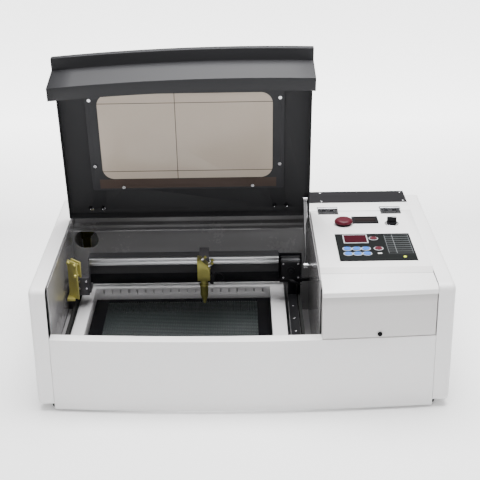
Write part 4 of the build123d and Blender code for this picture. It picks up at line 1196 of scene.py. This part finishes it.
# ------------------------------------------------------------------ patterned finishes
@dataclass(frozen=True)
class WindowFilm:
    """The lid's acrylic pane under a beige film: clear over the dark rim, with score lines."""

    centre_x: float = -109.5
    centre_from_hinge: float = 187.5
    width: float = 356.0
    height: float = 197.0
    corner: float = 25.0
    cross_lines: tuple[float, ...] = (107.0, 265.0)
    upright_line: float = -130.0
    strip: tuple[float, float] = (66.0, 88.0)
    film: Colour = (0.46, 0.385, 0.31)
    rim: Colour = (0.035, 0.035, 0.038)

    def bench(self, hinge: Vector, open_angle: float) -> Bench:
        """Return the film's tree.

        Args:
            hinge: A point on the lid's hinge line.
            open_angle: How far the lid stands open, in degrees.

        Returns:
            The tree.
        """
        bench = Bench("window_film")
        turn = math.radians(open_angle)
        x = bench.axis("X") / MM
        rise = (bench.axis("Z") - hinge.z) * math.sin(turn)
        run = (hinge.y - bench.axis("Y")) * math.cos(turn)
        e = (rise + run) / MM
        over_x = ((x - self.centre_x).size() - (self.width / 2 - self.corner)).most(0.0)
        over_e = ((e - self.centre_from_hinge).size() - (self.height / 2 - self.corner)).most(0.0)
        window = (over_x * over_x + over_e * over_e).root().within(self.corner, 0.6)
        lines = x.near(self.upright_line, 0.7, 0.5)
        for place in self.cross_lines:
            lines = lines.most(e.near(place, 0.7, 0.5))
        strip = e.near(mid(*self.strip), (self.strip[1] - self.strip[0]) / 2, 0.6)
        strip = strip * (x - self.centre_x).size().within(self.width / 2 + 8, 0.6)
        clouds = bench.noise(14.0, 3.0)
        fibres = bench.noise(300.0, 2.0)
        film = bench.mix(clouds * 0.7 + fibres * 0.3, self.film, (0.52, 0.45, 0.375))
        lined = bench.mix(lines, film, (0.05, 0.04, 0.032))
        edged = bench.mix(strip, self.rim, (0.07, 0.05, 0.042))
        bench.set(
            Base_Color=bench.mix(window, edged, lined),
            Roughness=0.5 - window * 0.14 + fibres * 0.04,
            Normal=bench.bump(fibres * 0.4 + clouds * 0.6, 0.00012),
            Coat_Weight=window * 0.3,
            Coat_Roughness=0.06,
            Specular_IOR_Level=0.15,
        )
        return bench


@dataclass(frozen=True)
class HingeSteel:
    """Dark hinge leaves with a bright rolled knuckle."""

    knuckle: float = 4.7

    def bench(self, hinge: Vector) -> Bench:
        """Return the finish's tree, bright near the hinge line."""
        bench = Bench("hinge_steel")
        y = (bench.axis("Y") - hinge.y) / MM
        z = (bench.axis("Z") - hinge.z) / MM
        rolled = (y * y + z * z).root().within(self.knuckle, 0.3)
        clouds = bench.noise(90.0, 3.0)
        bright = bench.mix(clouds, (0.36, 0.36, 0.38), (0.10, 0.10, 0.11))
        dark = bench.mix(clouds, (0.012, 0.012, 0.013), (0.024, 0.024, 0.026))
        bench.set(
            Base_Color=bench.mix(rolled, dark, bright),
            Metallic=0.3 + rolled * 0.7,
            Roughness=0.38 - rolled * 0.2 + clouds * 0.06,
            Normal=bench.bump(bench.noise(700.0, 2.0), 0.00001),
        )
        return bench


@dataclass(frozen=True)
class RailPaint:
    """The Y rails: a pale grey left one and a black right one."""

    def bench(self) -> Bench:
        """Return the finish's tree, pale on the machine's left."""
        bench = Bench("rail_paint")
        left = bench.axis("X").within(0.0, 0.001)
        clouds = bench.noise(30.0, 3.0)
        pale = bench.mix(clouds, (0.22, 0.215, 0.22), (0.28, 0.275, 0.28))
        black = bench.mix(clouds, (0.004, 0.004, 0.005), (0.008, 0.008, 0.009))
        bench.set(
            Base_Color=bench.mix(left, black, pale),
            Roughness=0.38 + clouds * 0.08,
            Normal=bench.bump(bench.noise(500.0, 2.0), 0.00002),
            Specular_IOR_Level=0.3,
        )
        return bench


@dataclass(frozen=True)
class HoodPaintAndShade:
    """The electronics cover's white paint, with painted shade on the sloping band above the visor and
    along its lower crease, painted shade on the flap under the nose and a painted shadow just below the
    nose.
    """

    fold_in: tuple[float, float] = (58.0, 70.0)
    fold_low_z: float = 0.256
    nose_low_z: float = 0.247
    white: Colour = (0.80, 0.79, 0.79)
    # grey of the painted shade on the sloping band and on the flap under the nose
    flap: Colour = (0.56, 0.545, 0.54)
    # grey of the painted shadow just below the nose
    shade: Colour = (0.36, 0.35, 0.345)
    # dark grey of the painted shade line along the lower crease
    crease_shade: Colour = (0.16, 0.16, 0.165)

    def bench(self) -> Bench:
        """Return the tree of the paint with its painted shade."""
        bench = Bench("hood_paint_and_shade")
        y = (bench.axis("Y") - depth(0.0)) / MM
        z = bench.axis("Z")
        low, high = self.fold_in
        over = 1.0 - z.within(self.fold_low_z, 0.002)
        # painted shade on the sloping band between the creases above the visor
        fold_shade = y.near(mid(low, high), (high - low) / 2, 1.0) * over
        # a painted shade line along the lower crease
        crease_shade = y.near(low - 0.6, 0.7, 0.6) * over
        # painted shade on the flap under the nose
        under = z.within(self.nose_low_z, 0.001) * y.within(20.0, 4.0)
        # a painted shadow just below the nose, fading downwards
        nose_shadow = (1.0 - z.within(self.nose_low_z - 0.010, 0.018)) * under
        clouds = bench.noise(9.0, 3.0)
        fold_shaded = bench.mix(fold_shade * 0.55, self.white, self.flap)
        crease_shaded = bench.mix(crease_shade * 0.8, fold_shaded, self.crease_shade)
        flap_shaded = bench.mix(under, crease_shaded, self.flap)
        bench.set(
            Base_Color=bench.mix(nose_shadow * 0.8, flap_shaded, self.shade),
            Roughness=0.31 + clouds * 0.07,
            Normal=bench.bump(bench.noise(420.0, 1.0), 0.00002),
            Coat_Weight=0.1,
            Coat_Roughness=0.12,
            Specular_IOR_Level=0.35,
        )
        return bench


@dataclass(frozen=True)
class PanelPrint:
    """The control panel's satin black face, with a ruled table and a small pale label."""

    table_x: tuple[float, float] = (291.0, 339.0)
    table_in: tuple[float, float] = (130.0, 224.0)
    rows: int = 9
    label_place: tuple[float, float] = (273.0, 131.0)
    label_half: tuple[float, float] = (4.0, 2.5)
    ink: Colour = (0.22, 0.23, 0.24)

    def bench(self) -> Bench:
        """Return the print's tree."""
        bench = Bench("panel_print")
        x = bench.axis("X") / MM
        y = (bench.axis("Y") - depth(0.0)) / MM
        mid_x, mid_in = mid(*self.table_x), mid(*self.table_in)
        half_x = (self.table_x[1] - self.table_x[0]) / 2
        half_in = (self.table_in[1] - self.table_in[0]) / 2
        inside = (x - mid_x).size().within(half_x, 0.3) * (y - mid_in).size().within(half_in, 0.3)
        rule = (y - self.table_in[0]).wrap(2 * half_in / self.rows).within(0.45, 0.4)
        columns = x.near(mid_x - half_x, 0.6, 0.4).most(x.near(mid_x + half_x, 0.6, 0.4))
        columns = columns.most(x.near(mid_x - half_x / 3, 0.4, 0.4))
        table = inside * rule.most(columns)
        label_x, label_in = self.label_place
        label = x.near(label_x, self.label_half[0], 0.3) * y.near(label_in, self.label_half[1], 0.3)
        grain = bench.noise(1200.0, 2.0)
        black = bench.mix(grain, (0.004, 0.005, 0.005), (0.008, 0.009, 0.009))
        ruled = bench.mix(table * 0.8, black, self.ink)
        bench.set(
            Base_Color=bench.mix(label, ruled, (0.6, 0.6, 0.6)),
            Roughness=0.45 + grain * 0.08,
            Normal=bench.bump(grain, 0.00001),
            Specular_IOR_Level=0.06,
        )
        return bench


class Paints(dict):
    """The materials of all finishes, made as they are first asked for."""

    window: Paint
    hood: Paint
    panel: Paint
    hinges: Paint
    rails: Paint

    def __missing__(self, finish: Enamel | Metal | Plastic) -> Paint:
        """Make a finish's material."""
        self[finish] = finish.bench().material
        return self[finish]


NODE_FINISH = {
    WHITE: ["left_side_panel", "right_side_panel", "front_panel", "electronics_cover", "bed_frame",
            "rear_panel", "rear_deck"],
    CHARCOAL: ["lid_shell", "tube_cover", "x_beam"],
    GREY: ["base_pan", "bay_partition", "electronics_wall", "exhaust_duct"],
    BLACK_METAL: ["motor_bracket", "x_motor", "y_motor", "bed_mesh", "y_drive_shaft"],
    STEEL: ["x_guide_rail", "lid_screws", "hose_fittings", "y_idler_pulleys",
            "x_drive_pulley", "x_idler_pulley", "power_supply", "tube_clamps"],
    CHROME: ["stay_cylinder", "stay_rod"],
    GREY_METAL: ["left_end_bracket", "carriage"],
    BRASS: ["mirror_1_mount", "mirror_2_mount", "mirror_3_block", "lens_tube"],
    BLACK_PLASTIC: ["control_panel", "panel_meter", "selector_knob", "mains_inlet", "laser_pointer",
                    "lid_window"],
    TUBE_GLASS: ["laser_tube"],
    BOARD_GREEN: ["controller_board"],
    RUBBER: ["rubber_feet", "x_belt", "y_belts"],
    RED_PLASTIC: ["stop_button", "red_key_1", "red_key_2"],
    RED_LENS: ["display_lens"],
    BLUE_PLASTIC: [f"blue_key_{n}" for n in range(1, 7)],
}


def main() -> None:
    """Build the whole scene."""
    logging.basicConfig(level=logging.INFO, format="%(message)s")
    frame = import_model()
    hinge = Vector(next(j for j in frame["joints"] if j["name"] == "lid_hinge")["pos_m"])
    finishes = Paints()
    finishes.window = WindowFilm().bench(hinge, Lid.open_angle).material
    finishes.panel = PanelPrint().bench().material
    finishes.hood = HoodPaintAndShade().bench().material
    finishes.hinges = HingeSteel().bench(hinge).material
    finishes.rails = RailPaint().bench().material
    for finish, names in NODE_FINISH.items():
        for name in names:
            dress(frame["nodes"][name], finishes[finish])
    for name in ("fixed_hinge_leaves", "lid_hinge_leaves", "cover_hinge_leaves"):
        dress(frame["nodes"][name], finishes.hinges)
    dress(frame["nodes"]["y_rails"], finishes.rails)
    Casework().build(finishes)
    WorkBay().build(finishes)
    Gantry().build(finishes)
    Head().build(finishes)
    Lid().build(hinge, finishes)
    ControlTop().build(finishes)
    RearFittings().build(finishes)
    Stage().build()


if __name__ == "__main__":
    main()
